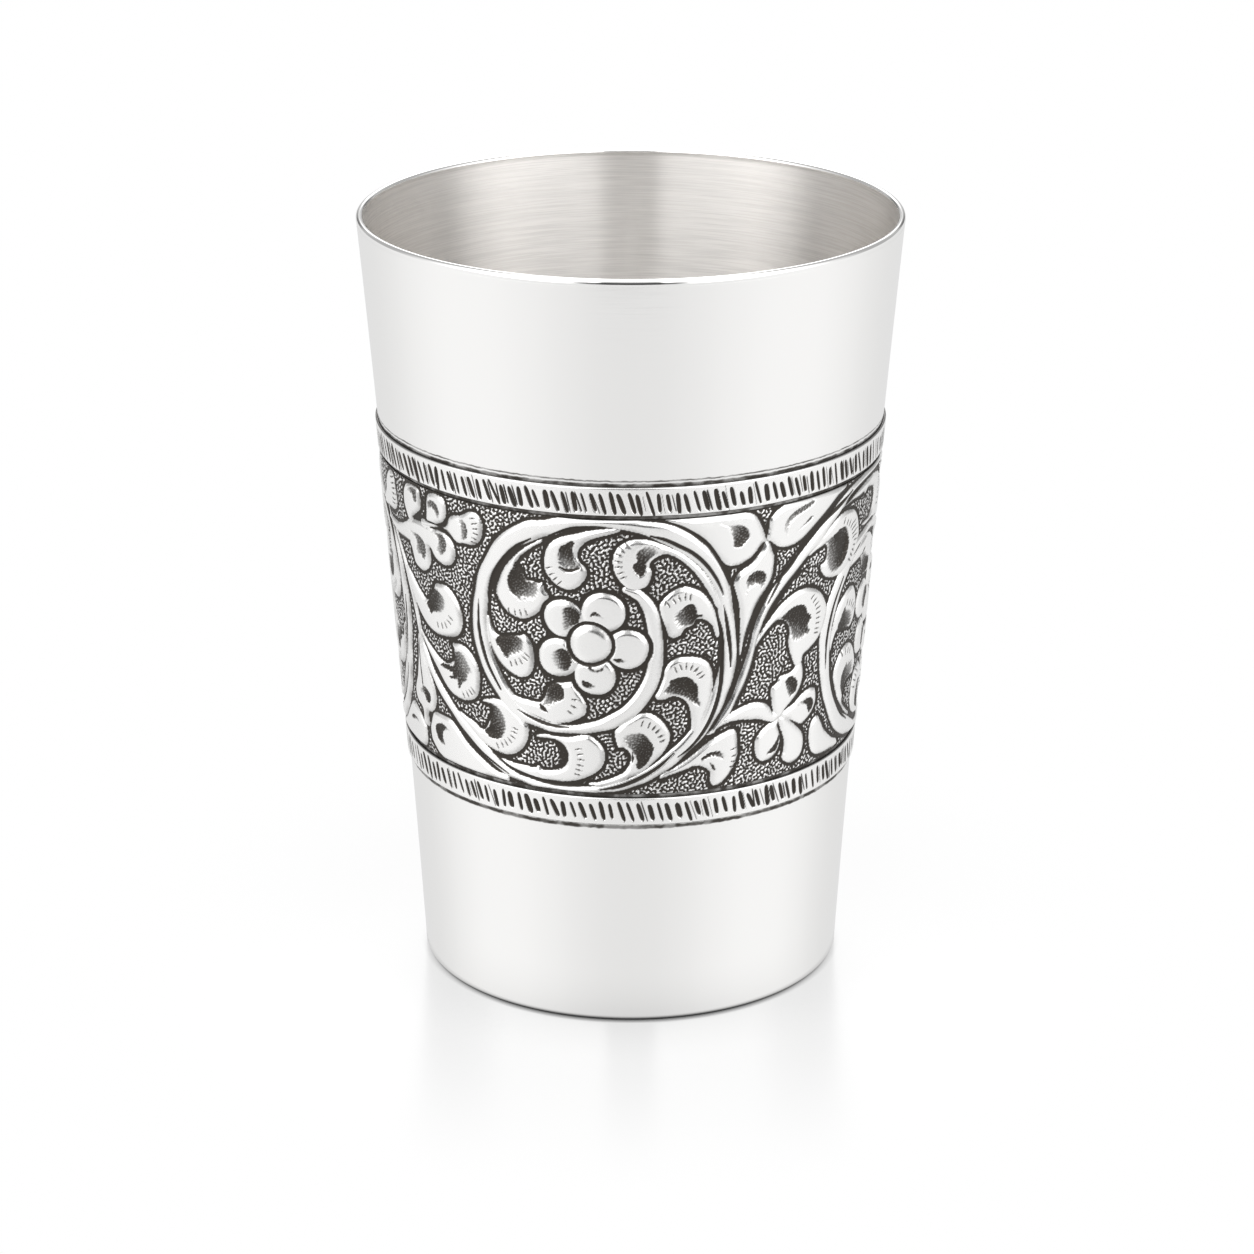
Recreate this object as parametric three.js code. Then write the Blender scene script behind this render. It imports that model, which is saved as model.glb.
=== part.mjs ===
// A tapered silver holder for a drinking glass, built as a silversmith builds it:
// a rolled sheet wall, a disc let into its foot, a round wire on its mouth, and a
// chased strip wrapped round the wall between two hatched border strips.
// Millimetres, +Z up. The origin is the middle of the foot, on the table.
import * as THREE from "three";

// Driving dimensions of the vessel
const HEIGHT = 104; // table to the top of the rim wire
const MOUTH_RADIUS = 36.1; // outside of the wall, carried up to the full height
const FOOT_RADIUS = 28.6; // outside of the wall at the table
const FLARE_HOLLOW = 0.41; // how far the wall draws in from a straight taper, half way up
const WALL_GAUGE = 0.8; // sheet thickness of the wall, measured level
const FOOT_EDGE_RADIUS = 0.5; // rounding of the wall's lower outer edge
const BASE_GAUGE = 1.0; // thickness of the disc in the foot
const RIM_WIRE_DIAMETER = 0.9;

// Driving dimensions of the ornament strips that are soldered round the wall
const ORNAMENT_FOOT = 29.2; // height of the lower border's lower edge
const BORDER_HEIGHT = 3.9;
const BORDER_GAUGE = 0.3;
const BAND_HEIGHT = 38.6;
const BAND_GAUGE = 0.45;
const STRIP_EDGE_BEVEL = 0.12; // the strips' outer edges are eased by this much
const JOINT_GROOVE = 0.5; // open line between the band and each border

const SOLDER_GAP = 0.05; // film of solder between any two pieces

// How finely the round forms are faceted
const ROUND_FACETS = 96;
const WIRE_FACETS = 12;
const WALL_STEPS = 5;
const BAND_STEPS = 4;
const BORDER_STEPS = 1;
const EDGE_STEPS = 2;

// Outside radius of the wall at a height: a straight taper, drawn in half way up.
function wallRadius(z) {
  const t = z / HEIGHT;
  const taper = FOOT_RADIUS + (MOUTH_RADIUS - FOOT_RADIUS) * t;
  return taper - 4 * FLARE_HOLLOW * t * (1 - t);
}

const boreRadius = (z) => wallRadius(z) - WALL_GAUGE;

// Points along a line that runs from one height to another, at a radius that
// follows the height.
function risingLine(fromZ, toZ, radiusAt, steps) {
  return Array.from({ length: steps + 1 }, (_, i) => {
    const z = THREE.MathUtils.lerp(fromZ, toZ, i / steps);
    return new THREE.Vector2(radiusAt(z), z);
  });
}

// A solid of revolution about Z from its section, given anticlockwise as
// (radius, height). A section that keeps off the axis is closed on itself.
function turned(section) {
  const onAxis = section[0].x === 0;
  const outline = onAxis ? section : [...section, section[0].clone()];
  return new THREE.LatheGeometry(outline, ROUND_FACETS).rotateX(Math.PI / 2);
}

function silver(name, color, roughness) {
  return new THREE.MeshStandardMaterial({ name, color, roughness, metalness: 1 });
}

const polishedSilver = silver("polished_silver", 0xeeeeec, 0.12);
const satinSilver = silver("satin_silver", 0xc9c6c1, 0.35);
const oxidisedSilver = silver("oxidised_silver", 0xa8a6a2, 0.3);

function piece(name, geometry, material) {
  const mesh = new THREE.Mesh(geometry, material);
  mesh.name = name;
  return mesh;
}

// The wall: sheet silver rolled to the tapered outline, open at both ends.
function cupWall() {
  const top = HEIGHT - RIM_WIRE_DIAMETER - SOLDER_GAP;
  const footEdge = Array.from({ length: EDGE_STEPS + 1 }, (_, i) => {
    const turn = (Math.PI / 2) * (i / EDGE_STEPS);
    return new THREE.Vector2(
      wallRadius(0) - FOOT_EDGE_RADIUS * (1 - Math.sin(turn)),
      FOOT_EDGE_RADIUS * (1 - Math.cos(turn)),
    );
  });
  const outside = risingLine(FOOT_EDGE_RADIUS, top, wallRadius, WALL_STEPS).slice(1);
  const inside = risingLine(top, 0, boreRadius, WALL_STEPS);
  return piece("cup_wall", turned([...footEdge, ...outside, ...inside]), polishedSilver);
}

// The base: a flat disc let into the foot of the wall, flush with its lower edge.
function baseDisc() {
  const radius = boreRadius(0) - SOLDER_GAP;
  const section = [
    new THREE.Vector2(0, 0),
    new THREE.Vector2(radius, 0),
    new THREE.Vector2(radius, BASE_GAUGE),
    new THREE.Vector2(0, BASE_GAUGE),
  ];
  return piece("base_disc", turned(section), satinSilver);
}

// The rim: round wire seated on the wall's top edge, in the middle of its gauge.
function rimWire() {
  const wireRadius = RIM_WIRE_DIAMETER / 2;
  const seat = HEIGHT - RIM_WIRE_DIAMETER;
  const ringRadius = wallRadius(seat) - WALL_GAUGE / 2;
  const ring = new THREE.TorusGeometry(ringRadius, wireRadius, WIRE_FACETS, ROUND_FACETS);
  const mesh = piece("rim_wire", ring, polishedSilver);
  mesh.position.z = HEIGHT - wireRadius;
  return mesh;
}

// A strip wrapped round the wall, with its two outer edges eased.
function strip(name, foot, height, gauge, steps) {
  const top = foot + height;
  const back = (z) => wallRadius(z) + SOLDER_GAP;
  const face = (z) => back(z) + gauge;
  const section = [
    new THREE.Vector2(back(foot), foot),
    new THREE.Vector2(face(foot) - STRIP_EDGE_BEVEL, foot),
    ...risingLine(foot + STRIP_EDGE_BEVEL, top - STRIP_EDGE_BEVEL, face, steps),
    new THREE.Vector2(face(top) - STRIP_EDGE_BEVEL, top),
    ...risingLine(top, foot, back, steps).slice(0, -1),
  ];
  return piece(name, turned(section), oxidisedSilver);
}

const bandFoot = ORNAMENT_FOOT + BORDER_HEIGHT + JOINT_GROOVE;
const upperBorderFoot = bandFoot + BAND_HEIGHT + JOINT_GROOVE;

const glassHolder = new THREE.Group();
glassHolder.name = "glass_holder";
glassHolder.add(
  cupWall(),
  baseDisc(),
  rimWire(),
  strip("lower_border", ORNAMENT_FOOT, BORDER_HEIGHT, BORDER_GAUGE, BORDER_STEPS),
  strip("chased_band", bandFoot, BAND_HEIGHT, BAND_GAUGE, BAND_STEPS),
  strip("upper_border", upperBorderFoot, BORDER_HEIGHT, BORDER_GAUGE, BORDER_STEPS),
);

export default glassHolder;
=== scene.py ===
# %% [markdown]
# # A chased silver glass holder
# The holder is a tapered cup of sheet silver with a round wire on its mouth. A strip of
# silver, chased with leaf scrolls and darkened in its hollows, is wrapped round the cup
# between two hatched borders. The measured model comes first and stays fixed: each piece
# made below takes its place and its size from it.

# %% Load the measured model
import math

import bmesh
import bpy
import numpy as np
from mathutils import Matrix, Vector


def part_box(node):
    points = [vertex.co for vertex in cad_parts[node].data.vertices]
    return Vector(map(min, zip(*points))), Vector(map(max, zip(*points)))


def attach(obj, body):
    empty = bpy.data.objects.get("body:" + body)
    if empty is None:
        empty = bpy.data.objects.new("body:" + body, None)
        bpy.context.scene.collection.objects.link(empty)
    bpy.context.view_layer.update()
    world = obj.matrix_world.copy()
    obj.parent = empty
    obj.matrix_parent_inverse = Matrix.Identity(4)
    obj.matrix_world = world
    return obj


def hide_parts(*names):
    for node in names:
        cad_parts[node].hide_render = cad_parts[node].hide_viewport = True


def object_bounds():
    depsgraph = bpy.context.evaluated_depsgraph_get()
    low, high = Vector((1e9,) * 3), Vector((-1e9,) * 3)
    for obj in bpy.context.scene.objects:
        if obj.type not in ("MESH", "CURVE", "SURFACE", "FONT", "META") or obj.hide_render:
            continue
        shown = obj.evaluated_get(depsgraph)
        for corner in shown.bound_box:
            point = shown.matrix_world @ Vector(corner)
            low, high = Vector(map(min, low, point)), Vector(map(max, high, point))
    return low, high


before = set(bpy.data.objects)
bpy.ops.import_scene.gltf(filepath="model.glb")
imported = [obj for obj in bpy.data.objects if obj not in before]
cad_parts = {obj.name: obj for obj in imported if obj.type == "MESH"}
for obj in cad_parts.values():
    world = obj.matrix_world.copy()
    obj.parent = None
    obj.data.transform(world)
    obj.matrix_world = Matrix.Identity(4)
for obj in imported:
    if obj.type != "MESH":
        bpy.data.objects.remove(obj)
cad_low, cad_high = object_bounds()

MM = 0.001
print("measured model, mm:", [round(side / MM, 2) for side in cad_high - cad_low])

# %% [markdown]
# ## Node helpers
# Materials are built from nodes in code. A few helpers keep that readable: one gives a
# socket either a wire or a plain value, and the others make one node in a single line.

# %% Helpers for values and colours
def feed(tree, socket, value):
    """Wires another node's output to a socket, or sets the socket's own value."""
    if isinstance(value, bpy.types.NodeSocket):
        tree.links.new(value, socket)
    else:
        socket.default_value = value


def calc(tree, operation, *values):
    """One Math node and its result."""
    made = tree.nodes.new("ShaderNodeMath")
    made.operation = operation
    for socket, value in zip(made.inputs, values):
        feed(tree, socket, value)
    return made.outputs["Value"]


def ease(tree, value, start, end, low=0.0, high=1.0):
    """A soft step of a value: low at start, high at end."""
    made = tree.nodes.new("ShaderNodeMapRange")
    made.interpolation_type = "SMOOTHSTEP"
    names = ("Value", "From Min", "From Max", "To Min", "To Max")
    for name, setting in zip(names, (value, start, end, low, high)):
        feed(tree, made.inputs[name], setting)
    return made.outputs["Result"]


def blend_colours(tree, share, first, second):
    """A colour that runs from the first to the second as share goes from 0 to 1."""
    made = tree.nodes.new("ShaderNodeMix")
    made.data_type = "RGBA"
    colours = [socket for socket in made.inputs if socket.type == "RGBA"]
    for socket, value in zip([made.inputs[0], *colours], (share, first, second)):
        feed(tree, socket, value)
    return next(socket for socket in made.outputs if socket.type == "RGBA")


print("helpers: feed, calc, ease, blend_colours")

# %% Helpers for textures and finishes
def noise(tree, vector, scale, detail=2.0):
    """A Noise texture over a vector, as a value round 0.5."""
    made = tree.nodes.new("ShaderNodeTexNoise")
    feed(tree, made.inputs["Vector"], vector)
    feed(tree, made.inputs["Scale"], scale)
    feed(tree, made.inputs["Detail"], detail)
    return made.outputs["Fac"]


def own_place(tree):
    """The point's own place on the piece, which doesn't slide when the piece moves."""
    return tree.nodes.new("ShaderNodeTexCoord").outputs["Object"]


def split(tree, vector):
    """The x, y and z of a vector."""
    made = tree.nodes.new("ShaderNodeSeparateXYZ")
    feed(tree, made.inputs["Vector"], vector)
    return made.outputs


def new_finish(name):
    """A new metal material: the material, its node tree and its shader."""
    finish = bpy.data.materials.new(name)
    finish.use_nodes = True
    shader = finish.node_tree.nodes["Principled BSDF"]
    shader.inputs["Metallic"].default_value = 1.0
    return finish, finish.node_tree, shader


def bump(tree, shader, height, strength, distance):
    """Roughs the surface up by a height map, without moving it."""
    made = tree.nodes.new("ShaderNodeBump")
    made.inputs["Strength"].default_value = strength
    made.inputs["Distance"].default_value = distance
    feed(tree, made.inputs["Height"], height)
    feed(tree, shader.inputs["Normal"], made.outputs["Normal"])


print("helpers: noise, own_place, split, new_finish, bump")

# %% [markdown]
# ## Turned lines, a shared effect
# Spinning the cup against a polishing wheel leaves fine lines that run round its axis. A
# noise that is stretched round the axis gives them on walls and flat discs alike: its
# third coordinate is height plus radius, which changes across the lines on both. The
# first two are the direction from the axis, so that no seam shows anywhere.

# %% Turned lines group
LINE_DETAIL = 3.0
AXIS_RADIUS = 0.1 * MM


def make_turned_lines():
    """The group: a noise stretched round the axis, as a value round 0.5."""
    group = bpy.data.node_groups.new("turned lines", "ShaderNodeTree")
    for name in ("Run", "Across"):
        group.interface.new_socket(name, in_out="INPUT", socket_type="NodeSocketFloat")
    group.interface.new_socket("Lines", in_out="OUTPUT", socket_type="NodeSocketFloat")
    inlet = group.nodes.new("NodeGroupInput").outputs
    outlet = group.nodes.new("NodeGroupOutput")
    x, y, z = split(group, own_place(group))
    square = calc(group, "ADD", calc(group, "MULTIPLY", x, x), calc(group, "MULTIPLY", y, y))
    radius = calc(group, "MAXIMUM", calc(group, "SQRT", square), AXIS_RADIUS)
    vector = group.nodes.new("ShaderNodeCombineXYZ")
    for socket, side in zip(vector.inputs, (x, y)):
        bearing = calc(group, "DIVIDE", side, radius)
        feed(group, socket, calc(group, "MULTIPLY", bearing, inlet["Run"]))
    across = calc(group, "MULTIPLY", calc(group, "ADD", z, radius), inlet["Across"])
    feed(group, vector.inputs["Z"], across)
    lines = noise(group, vector.outputs["Vector"], 1.0, LINE_DETAIL)
    feed(group, outlet.inputs["Lines"], lines)
    return group


def turned_lines(tree, run, across):
    """Places the group in a material: how far the lines run, and how many lie in a metre."""
    placed = tree.nodes.new("ShaderNodeGroup")
    placed.node_tree = turned_group
    placed.inputs["Run"].default_value = run
    placed.inputs["Across"].default_value = across
    return placed.outputs["Lines"]


turned_group = make_turned_lines()
print("group:", turned_group.name, [socket.name for socket in turned_group.interface.items_tree])

# %% [markdown]
# ## Oxide and painted shade, a shared effect
# A silversmith darkens chased work with sulphur and then rubs the raised parts bright again,
# so the oxide stays in the hollows and along the edges of the strips. A mask says where
# it lies, and the same mask also carries painted shade, on one side of the raised forms and in
# the eyes. The group turns that mask into the colour and the roughness of the surface. Even
# a thin film looks dark, so the colour falls faster than the mask rises.

# %% Oxide and painted shade group
SILVER = (0.955, 0.95, 0.94, 1.0)
# the dark colour of oxide, and of the painted shade that shares its mask
OXIDE_AND_SHADE = (0.056, 0.05, 0.044, 1.0)
OXIDE_ROUGHNESS = 0.5
FILM_DARKENING = 2.4


def make_oxide_and_shade():
    """The group: a mask in, the colour and roughness of the surface out."""
    group = bpy.data.node_groups.new("oxide in hollows", "ShaderNodeTree")
    for name in ("Mask", "Bright Roughness"):
        group.interface.new_socket(name, in_out="INPUT", socket_type="NodeSocketFloat")
    group.interface.new_socket("Colour", in_out="OUTPUT", socket_type="NodeSocketColor")
    group.interface.new_socket("Roughness", in_out="OUTPUT", socket_type="NodeSocketFloat")
    inlet = group.nodes.new("NodeGroupInput").outputs
    outlet = group.nodes.new("NodeGroupOutput").inputs
    bare = calc(group, "POWER", calc(group, "SUBTRACT", 1.0, inlet["Mask"]), FILM_DARKENING)
    feed(group, outlet["Colour"], blend_colours(group, bare, OXIDE_AND_SHADE, SILVER))
    rough = ease(group, inlet["Mask"], 0.0, 1.0, inlet["Bright Roughness"], OXIDE_ROUGHNESS)
    feed(group, outlet["Roughness"], rough)
    return group


def lay_oxide_and_shade(tree, shader, mask, bright_roughness):
    """Puts the group between a mask and a material's shader."""
    placed = tree.nodes.new("ShaderNodeGroup")
    placed.node_tree = oxide_and_shade_group
    feed(tree, placed.inputs["Mask"], mask)
    feed(tree, placed.inputs["Bright Roughness"], bright_roughness)
    feed(tree, shader.inputs["Base Color"], placed.outputs["Colour"])
    feed(tree, shader.inputs["Roughness"], placed.outputs["Roughness"])


oxide_and_shade_group = make_oxide_and_shade()
print("group:", oxide_and_shade_group.name, [socket.name for socket in oxide_and_shade_group.interface.items_tree])

# %% [markdown]
# ## Polished silver
# The plain wall and the rim are buffed to a mirror. A mirror needs something to break it:
# here the roughness wavers a little with faint turned lines. Oxide is left on the wall only
# where the strips' edges meet it, in thin lines whose edges a noise makes ragged.

# %% Polished silver
POLISH_RUN, POLISH_ACROSS = 3.0, 3500.0
POLISH_ROUGHNESS = (0.05, 0.1)
POLISH_BUMP = 0.02
POLISH_BUMP_DEPTH = 0.02 * MM
# middle and half width of each line of oxide on the wall, mm
GROOVES = ((28.8, 0.24), (33.35, 0.26), (72.45, 0.28), (76.8, 0.2), (77.35, 0.06))
GROOVE_SOFTNESS = 0.12 * MM
GROOVE_WANDER = 0.3 * MM
GROOVE_GRAIN = 1100.0
GROOVE_PATCHES = 450.0


def polished_silver(name, with_grooves):
    """A mirror polish, with or without the lines of oxide along the strips."""
    finish, tree, shader = new_finish(name)
    lines = turned_lines(tree, POLISH_RUN, POLISH_ACROSS)
    roughness = ease(tree, lines, 0.3, 0.75, *POLISH_ROUGHNESS)
    mask = 0.0
    if with_grooves:
        place = own_place(tree)
        grain = noise(tree, place, GROOVE_GRAIN)
        wander = calc(tree, "MULTIPLY_ADD", grain, GROOVE_WANDER, -0.5 * GROOVE_WANDER)
        height = calc(tree, "ADD", split(tree, place)["Z"], wander)
        for middle, half in GROOVES:
            off = calc(tree, "ABSOLUTE", calc(tree, "SUBTRACT", height, middle * MM))
            line = ease(tree, off, half * MM - GROOVE_SOFTNESS, half * MM + GROOVE_SOFTNESS, 1.0, 0.0)
            mask = calc(tree, "MAXIMUM", mask, line)
        worn = ease(tree, noise(tree, place, GROOVE_PATCHES), 0.35, 0.6, 0.4, 0.85)
        mask = calc(tree, "MULTIPLY", mask, worn)
    lay_oxide_and_shade(tree, shader, mask, roughness)
    bump(tree, shader, lines, POLISH_BUMP, POLISH_BUMP_DEPTH)
    return finish


wall_polish = polished_silver("polished silver wall", True)
rim_polish = polished_silver("polished silver wire", False)
print("finishes:", wall_polish.name, "and", rim_polish.name)

# %% [markdown]
# ## Brushed silver
# The inside and the base are left with a satin, brushed face. The brush runs round the axis, and
# such lines smear reflections across themselves: that is the shader's anisotropy, turned by a
# quarter so that it works up and down. The turned lines vary the tint and the roughness.

# %% Brushed silver
FINE_RUN, FINE_ACROSS = 4.0, 8000.0
BROAD_RUN, BROAD_ACROSS = 2.0, 1500.0
BROAD_SHARE = 0.25
STREAK_SHADE = 0.84
STREAK_DEPTH = 0.05 * MM
QUARTER_TURN = 0.25


def brushed_silver(name, tone, roughness, strength):
    """A satin finish of one tone, with streaks of its brush round the axis."""
    finish, tree, shader = new_finish(name)
    fine = turned_lines(tree, FINE_RUN, FINE_ACROSS)
    broad = turned_lines(tree, BROAD_RUN, BROAD_ACROSS)
    light = tone + (1.0,)
    dark = tuple(part * STREAK_SHADE for part in tone) + (1.0,)
    finer = calc(tree, "MULTIPLY", fine, 1.0 - BROAD_SHARE)
    streaks = calc(tree, "MULTIPLY_ADD", broad, BROAD_SHARE, finer)
    share = ease(tree, streaks, 0.38, 0.62)
    feed(tree, shader.inputs["Base Color"], blend_colours(tree, share, dark, light))
    wavering = ease(tree, fine, 0.3, 0.7, roughness - 0.05, roughness + 0.07)
    feed(tree, shader.inputs["Roughness"], wavering)
    bump(tree, shader, streaks, strength, STREAK_DEPTH)
    shader.inputs["Anisotropic"].default_value = 1.0
    shader.inputs["Anisotropic Rotation"].default_value = QUARTER_TURN
    return finish


inside_brush = brushed_silver("brushed silver inside", (0.975, 0.95, 0.92), roughness=0.38, strength=0.12)
base_brush = brushed_silver("satin silver base", (0.9, 0.89, 0.87), roughness=0.42, strength=0.12)
print("finishes:", inside_brush.name, "and", base_brush.name)

# %% [markdown]
# ## Chased silver
# The band and the borders keep their mask of oxide and painted shade as an attribute on their
# vertices, because the same drawing gives both the relief and the dark places. The material reads
# that attribute and adds a fine mottle, so that no patch of metal is quite even.

# %% Chased silver
MOTTLE_SCALE = 2600.0
MOTTLE_DETAIL = 4.0
MOTTLE_SHARE = 0.16
CHASED_ROUGHNESS = (0.16, 0.25)


def chased_silver():
    """Bright silver with the oxide and the painted shade that the drawing left on the vertices."""
    finish, tree, shader = new_finish("chased silver with oxide and painted shade")
    drawn = tree.nodes.new("ShaderNodeAttribute")
    drawn.attribute_name = "oxide_and_shade"
    mottle = noise(tree, own_place(tree), MOTTLE_SCALE, MOTTLE_DETAIL)
    lowered = calc(tree, "SUBTRACT", drawn.outputs["Fac"], MOTTLE_SHARE / 2)
    wavering = calc(tree, "MULTIPLY_ADD", mottle, MOTTLE_SHARE, lowered)
    mask = ease(tree, wavering, 0.02, 0.95)
    lay_oxide_and_shade(tree, shader, mask, ease(tree, mottle, 0.3, 0.7, *CHASED_ROUGHNESS))
    return finish


chased_finish = chased_silver()
print("finish:", chased_finish.name)

# %% [markdown]
# ## Modelling helpers
# Operators act on whatever is selected, so each piece starts from an empty selection. The
# helpers below name a new primitive, pick edges or faces by a test of their place, and
# move all the vertices of a mesh at once.

# %% Modelling helpers
def clear_selection():
    """Leaves nothing selected, so that the next operator acts on the new piece alone."""
    bpy.ops.object.select_all(action="DESELECT")


def new_piece(name):
    """Names the primitive that was just added, and puts its place into its mesh."""
    piece = bpy.context.object
    piece.name = name
    piece.data.name = name
    bpy.ops.object.transform_apply(location=True, rotation=True, scale=True)
    return piece


def pick(piece, kind, wanted):
    """In edit mode, selects the edges or faces that pass a test, and no others."""
    bpy.ops.mesh.select_mode(type=kind)
    bpy.ops.mesh.select_all(action="DESELECT")
    shape = bmesh.from_edit_mesh(piece.data)
    found = [part for part in (shape.edges if kind == "EDGE" else shape.faces) if wanted(part)]
    for part in found:
        part.select_set(True)
    bmesh.update_edit_mesh(piece.data)
    return len(found)


def places(piece):
    """The x, y and z of every vertex, as three rows."""
    flat = np.empty(3 * len(piece.data.vertices))
    piece.data.vertices.foreach_get("co", flat)
    return flat.reshape(-1, 3).T


def move(piece, x, y, z):
    """Puts every vertex at its new place."""
    piece.data.vertices.foreach_set("co", np.column_stack((x, y, z)).ravel())
    piece.data.update()


def declare(piece, slot, *nodes):
    """Parents a finished piece to the body, and hides the CAD nodes that it stands for."""
    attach(piece, "root")
    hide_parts(*nodes)
    print(piece.name, len(piece.data.polygons), "faces, stands for", *nodes)


print("helpers: clear_selection, new_piece, pick, places, move, declare")

# %% [markdown]
# ## The wall
# The wall is one sheet of silver, rolled to a taper that draws in slightly half way up. An
# open cylinder is its start: its upright edges are subdivided into rings, each ring
# takes the radius of the outline at its height, and Solidify then gives the sheet its
# gauge, inwards. Its second material slot goes to the inside.

# %% Outline of the wall
HEIGHT = cad_high.z
FOOT_RADIUS = 28.6 * MM
MOUTH_RADIUS = 36.1 * MM
FLARE_HOLLOW = 0.41 * MM
WALL_GAUGE = 0.8 * MM
AROUND = 256


def wall_radius(z):
    """Outside radius of the wall at a height: a straight taper, drawn in half way up."""
    rise = z / HEIGHT
    taper = FOOT_RADIUS + (MOUTH_RADIUS - FOOT_RADIUS) * rise
    return taper - 4 * FLARE_HOLLOW * rise * (1 - rise)


print("outside radius half way up, mm:", round(wall_radius(HEIGHT / 2) / MM, 2))

# %% Roll the wall
WALL_RINGS = 40
wall_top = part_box("cup_wall")[1].z

clear_selection()
bpy.ops.mesh.primitive_cylinder_add(
    vertices=AROUND,
    radius=FOOT_RADIUS,
    depth=wall_top,
    end_fill_type="NOTHING",
    location=(0, 0, wall_top / 2),
)
wall = new_piece("wall_sheet")
bpy.ops.object.mode_set(mode="EDIT")
pick(wall, "EDGE", lambda edge: abs(edge.verts[0].co.z - edge.verts[1].co.z) > MM)
bpy.ops.mesh.subdivide(number_cuts=WALL_RINGS)
bpy.ops.object.mode_set(mode="OBJECT")
x, y, z = places(wall)
stretch = wall_radius(z) / np.hypot(x, y)
move(wall, x * stretch, y * stretch, z)
print("rings up the wall:", WALL_RINGS + 2)

# %% Give the wall its gauge, and round its foot
FOOT_EDGE_RADIUS = 0.5 * MM
FOOT_EDGE_STEPS = 5
FOOT_LEVEL = 0.1 * MM
SHARP_ANGLE = math.radians(40)

wall.data.materials.append(wall_polish)
wall.data.materials.append(inside_brush)
gauge = wall.modifiers.new("gauge", "SOLIDIFY")
gauge.thickness = WALL_GAUGE
gauge.offset = -1
gauge.material_offset = 1
bpy.ops.object.modifier_apply(modifier=gauge.name)
bpy.ops.object.mode_set(mode="EDIT")
outer_foot = FOOT_RADIUS - WALL_GAUGE / 4
foot_edges = pick(
    wall,
    "EDGE",
    lambda edge: all(end.co.z < FOOT_LEVEL and end.co.xy.length > outer_foot for end in edge.verts),
)
bpy.ops.mesh.bevel(offset=FOOT_EDGE_RADIUS, segments=FOOT_EDGE_STEPS, affect="EDGES")
bpy.ops.object.mode_set(mode="OBJECT")
bpy.ops.object.shade_smooth_by_angle(angle=SHARP_ANGLE)
print("foot edges rounded:", foot_edges)
declare(wall, "polished_silver", "cup_wall")

# %% [markdown]
# ## The rim wire
# A round wire, bent into a ring and soldered along the wall's top edge, stiffens the mouth.
# A torus is its start. The faces that look straight down are extruded onto the wall's
# edge, as the solder would run, so that no slit of light is left under the wire. On the outside
# the wire is filed flat just below its widest line, and the solder is drawn in under that flat:
# the flat catches the dark end of the room, and the solder the white floor. The brush of the
# inside runs up over the inner faces.

# %% Seat the rim wire
WIRE_SIDES = 32
SEAT_TILT = -0.45
SEAT_TAPER = 0.06 * MM

rim_low, rim_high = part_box("rim_wire")
wire_radius = (rim_high.z - rim_low.z) / 2
ring_radius = rim_high.x - wire_radius
widest = rim_high.z - wire_radius
clear_selection()
bpy.ops.mesh.primitive_torus_add(
    major_segments=AROUND,
    minor_segments=WIRE_SIDES,
    major_radius=ring_radius,
    minor_radius=wire_radius,
    location=(0, 0, widest),
)
rim = new_piece("rim_wire_ring")
bpy.ops.object.mode_set(mode="EDIT")
seat_faces = pick(rim, "FACE", lambda face: face.normal.z < SEAT_TILT)
bpy.ops.mesh.extrude_region_move(TRANSFORM_OT_translate={"value": (0, 0, wall_top - rim_low.z)})
shape = bmesh.from_edit_mesh(rim.data)
for vertex in shape.verts:
    reach = vertex.co.xy.length
    if vertex.select:
        vertex.co.z = wall_top
        vertex.co.xy *= min(reach, rim_high.x - SEAT_TAPER) / reach
    elif vertex.co.z < widest and reach > ring_radius:
        vertex.co.xy *= rim_high.x / reach
bmesh.update_edit_mesh(rim.data)
bpy.ops.object.mode_set(mode="OBJECT")
bpy.ops.object.shade_smooth_by_angle(angle=SHARP_ANGLE)
print("faces soldered down:", seat_faces)

# %% Finish the rim wire
BRUSHED_TILT = 0.2

rim.data.materials.append(rim_polish)
rim.data.materials.append(inside_brush)
for face in rim.data.polygons:
    if face.normal.z < BRUSHED_TILT and face.normal.xy.dot(face.center.xy) < 0:
        face.material_index = 1
declare(rim, "polished_silver", "rim_wire")

# %% [markdown]
# ## The base disc
# A flat disc is let into the foot of the wall. It starts as a cylinder; its two round edges
# are bevelled as a file would ease them, and each flat is inset, which gives the smooth
# shading a ring of faces to turn in.

# %% Let in the base disc
DISC_EDGE = 0.12 * MM
DISC_EDGE_STEPS = 3
DISC_INSET = 1.2 * MM
FLAT_TILT = 0.99
DISC_SHARP_ANGLE = math.radians(30)

base_low, base_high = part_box("base_disc")
clear_selection()
bpy.ops.mesh.primitive_cylinder_add(
    vertices=AROUND,
    radius=base_high.x,
    depth=base_high.z - base_low.z,
    location=(0, 0, (base_high.z + base_low.z) / 2),
)
base = new_piece("foot_disc")
bpy.ops.object.mode_set(mode="EDIT")
pick(base, "EDGE", lambda edge: abs(edge.verts[0].co.z - edge.verts[1].co.z) < DISC_EDGE)
bpy.ops.mesh.bevel(offset=DISC_EDGE, segments=DISC_EDGE_STEPS, affect="EDGES")
pick(base, "FACE", lambda face: abs(face.normal.z) > FLAT_TILT)
bpy.ops.mesh.inset(thickness=DISC_INSET, use_individual=True)
bpy.ops.object.mode_set(mode="OBJECT")
bpy.ops.object.shade_smooth_by_angle(angle=DISC_SHARP_ANGLE)
base.data.materials.append(base_brush)
declare(base, "satin_silver", "base_disc")

# %% [markdown]
# ## Wrapping a strip
# The borders and the band are strips that were worked flat and then bent round the wall. In
# Blender a flat grid is wrapped the same way: its columns become angles, its rows
# become heights, and its vertices stand off the wall by the relief of the work. The top and
# bottom edges are then extruded onto the wall and bridged, which closes the back.

# %% Wrap a strip
SOLDER_GAP = 0.05 * MM
FRONT = -math.pi / 2


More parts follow.
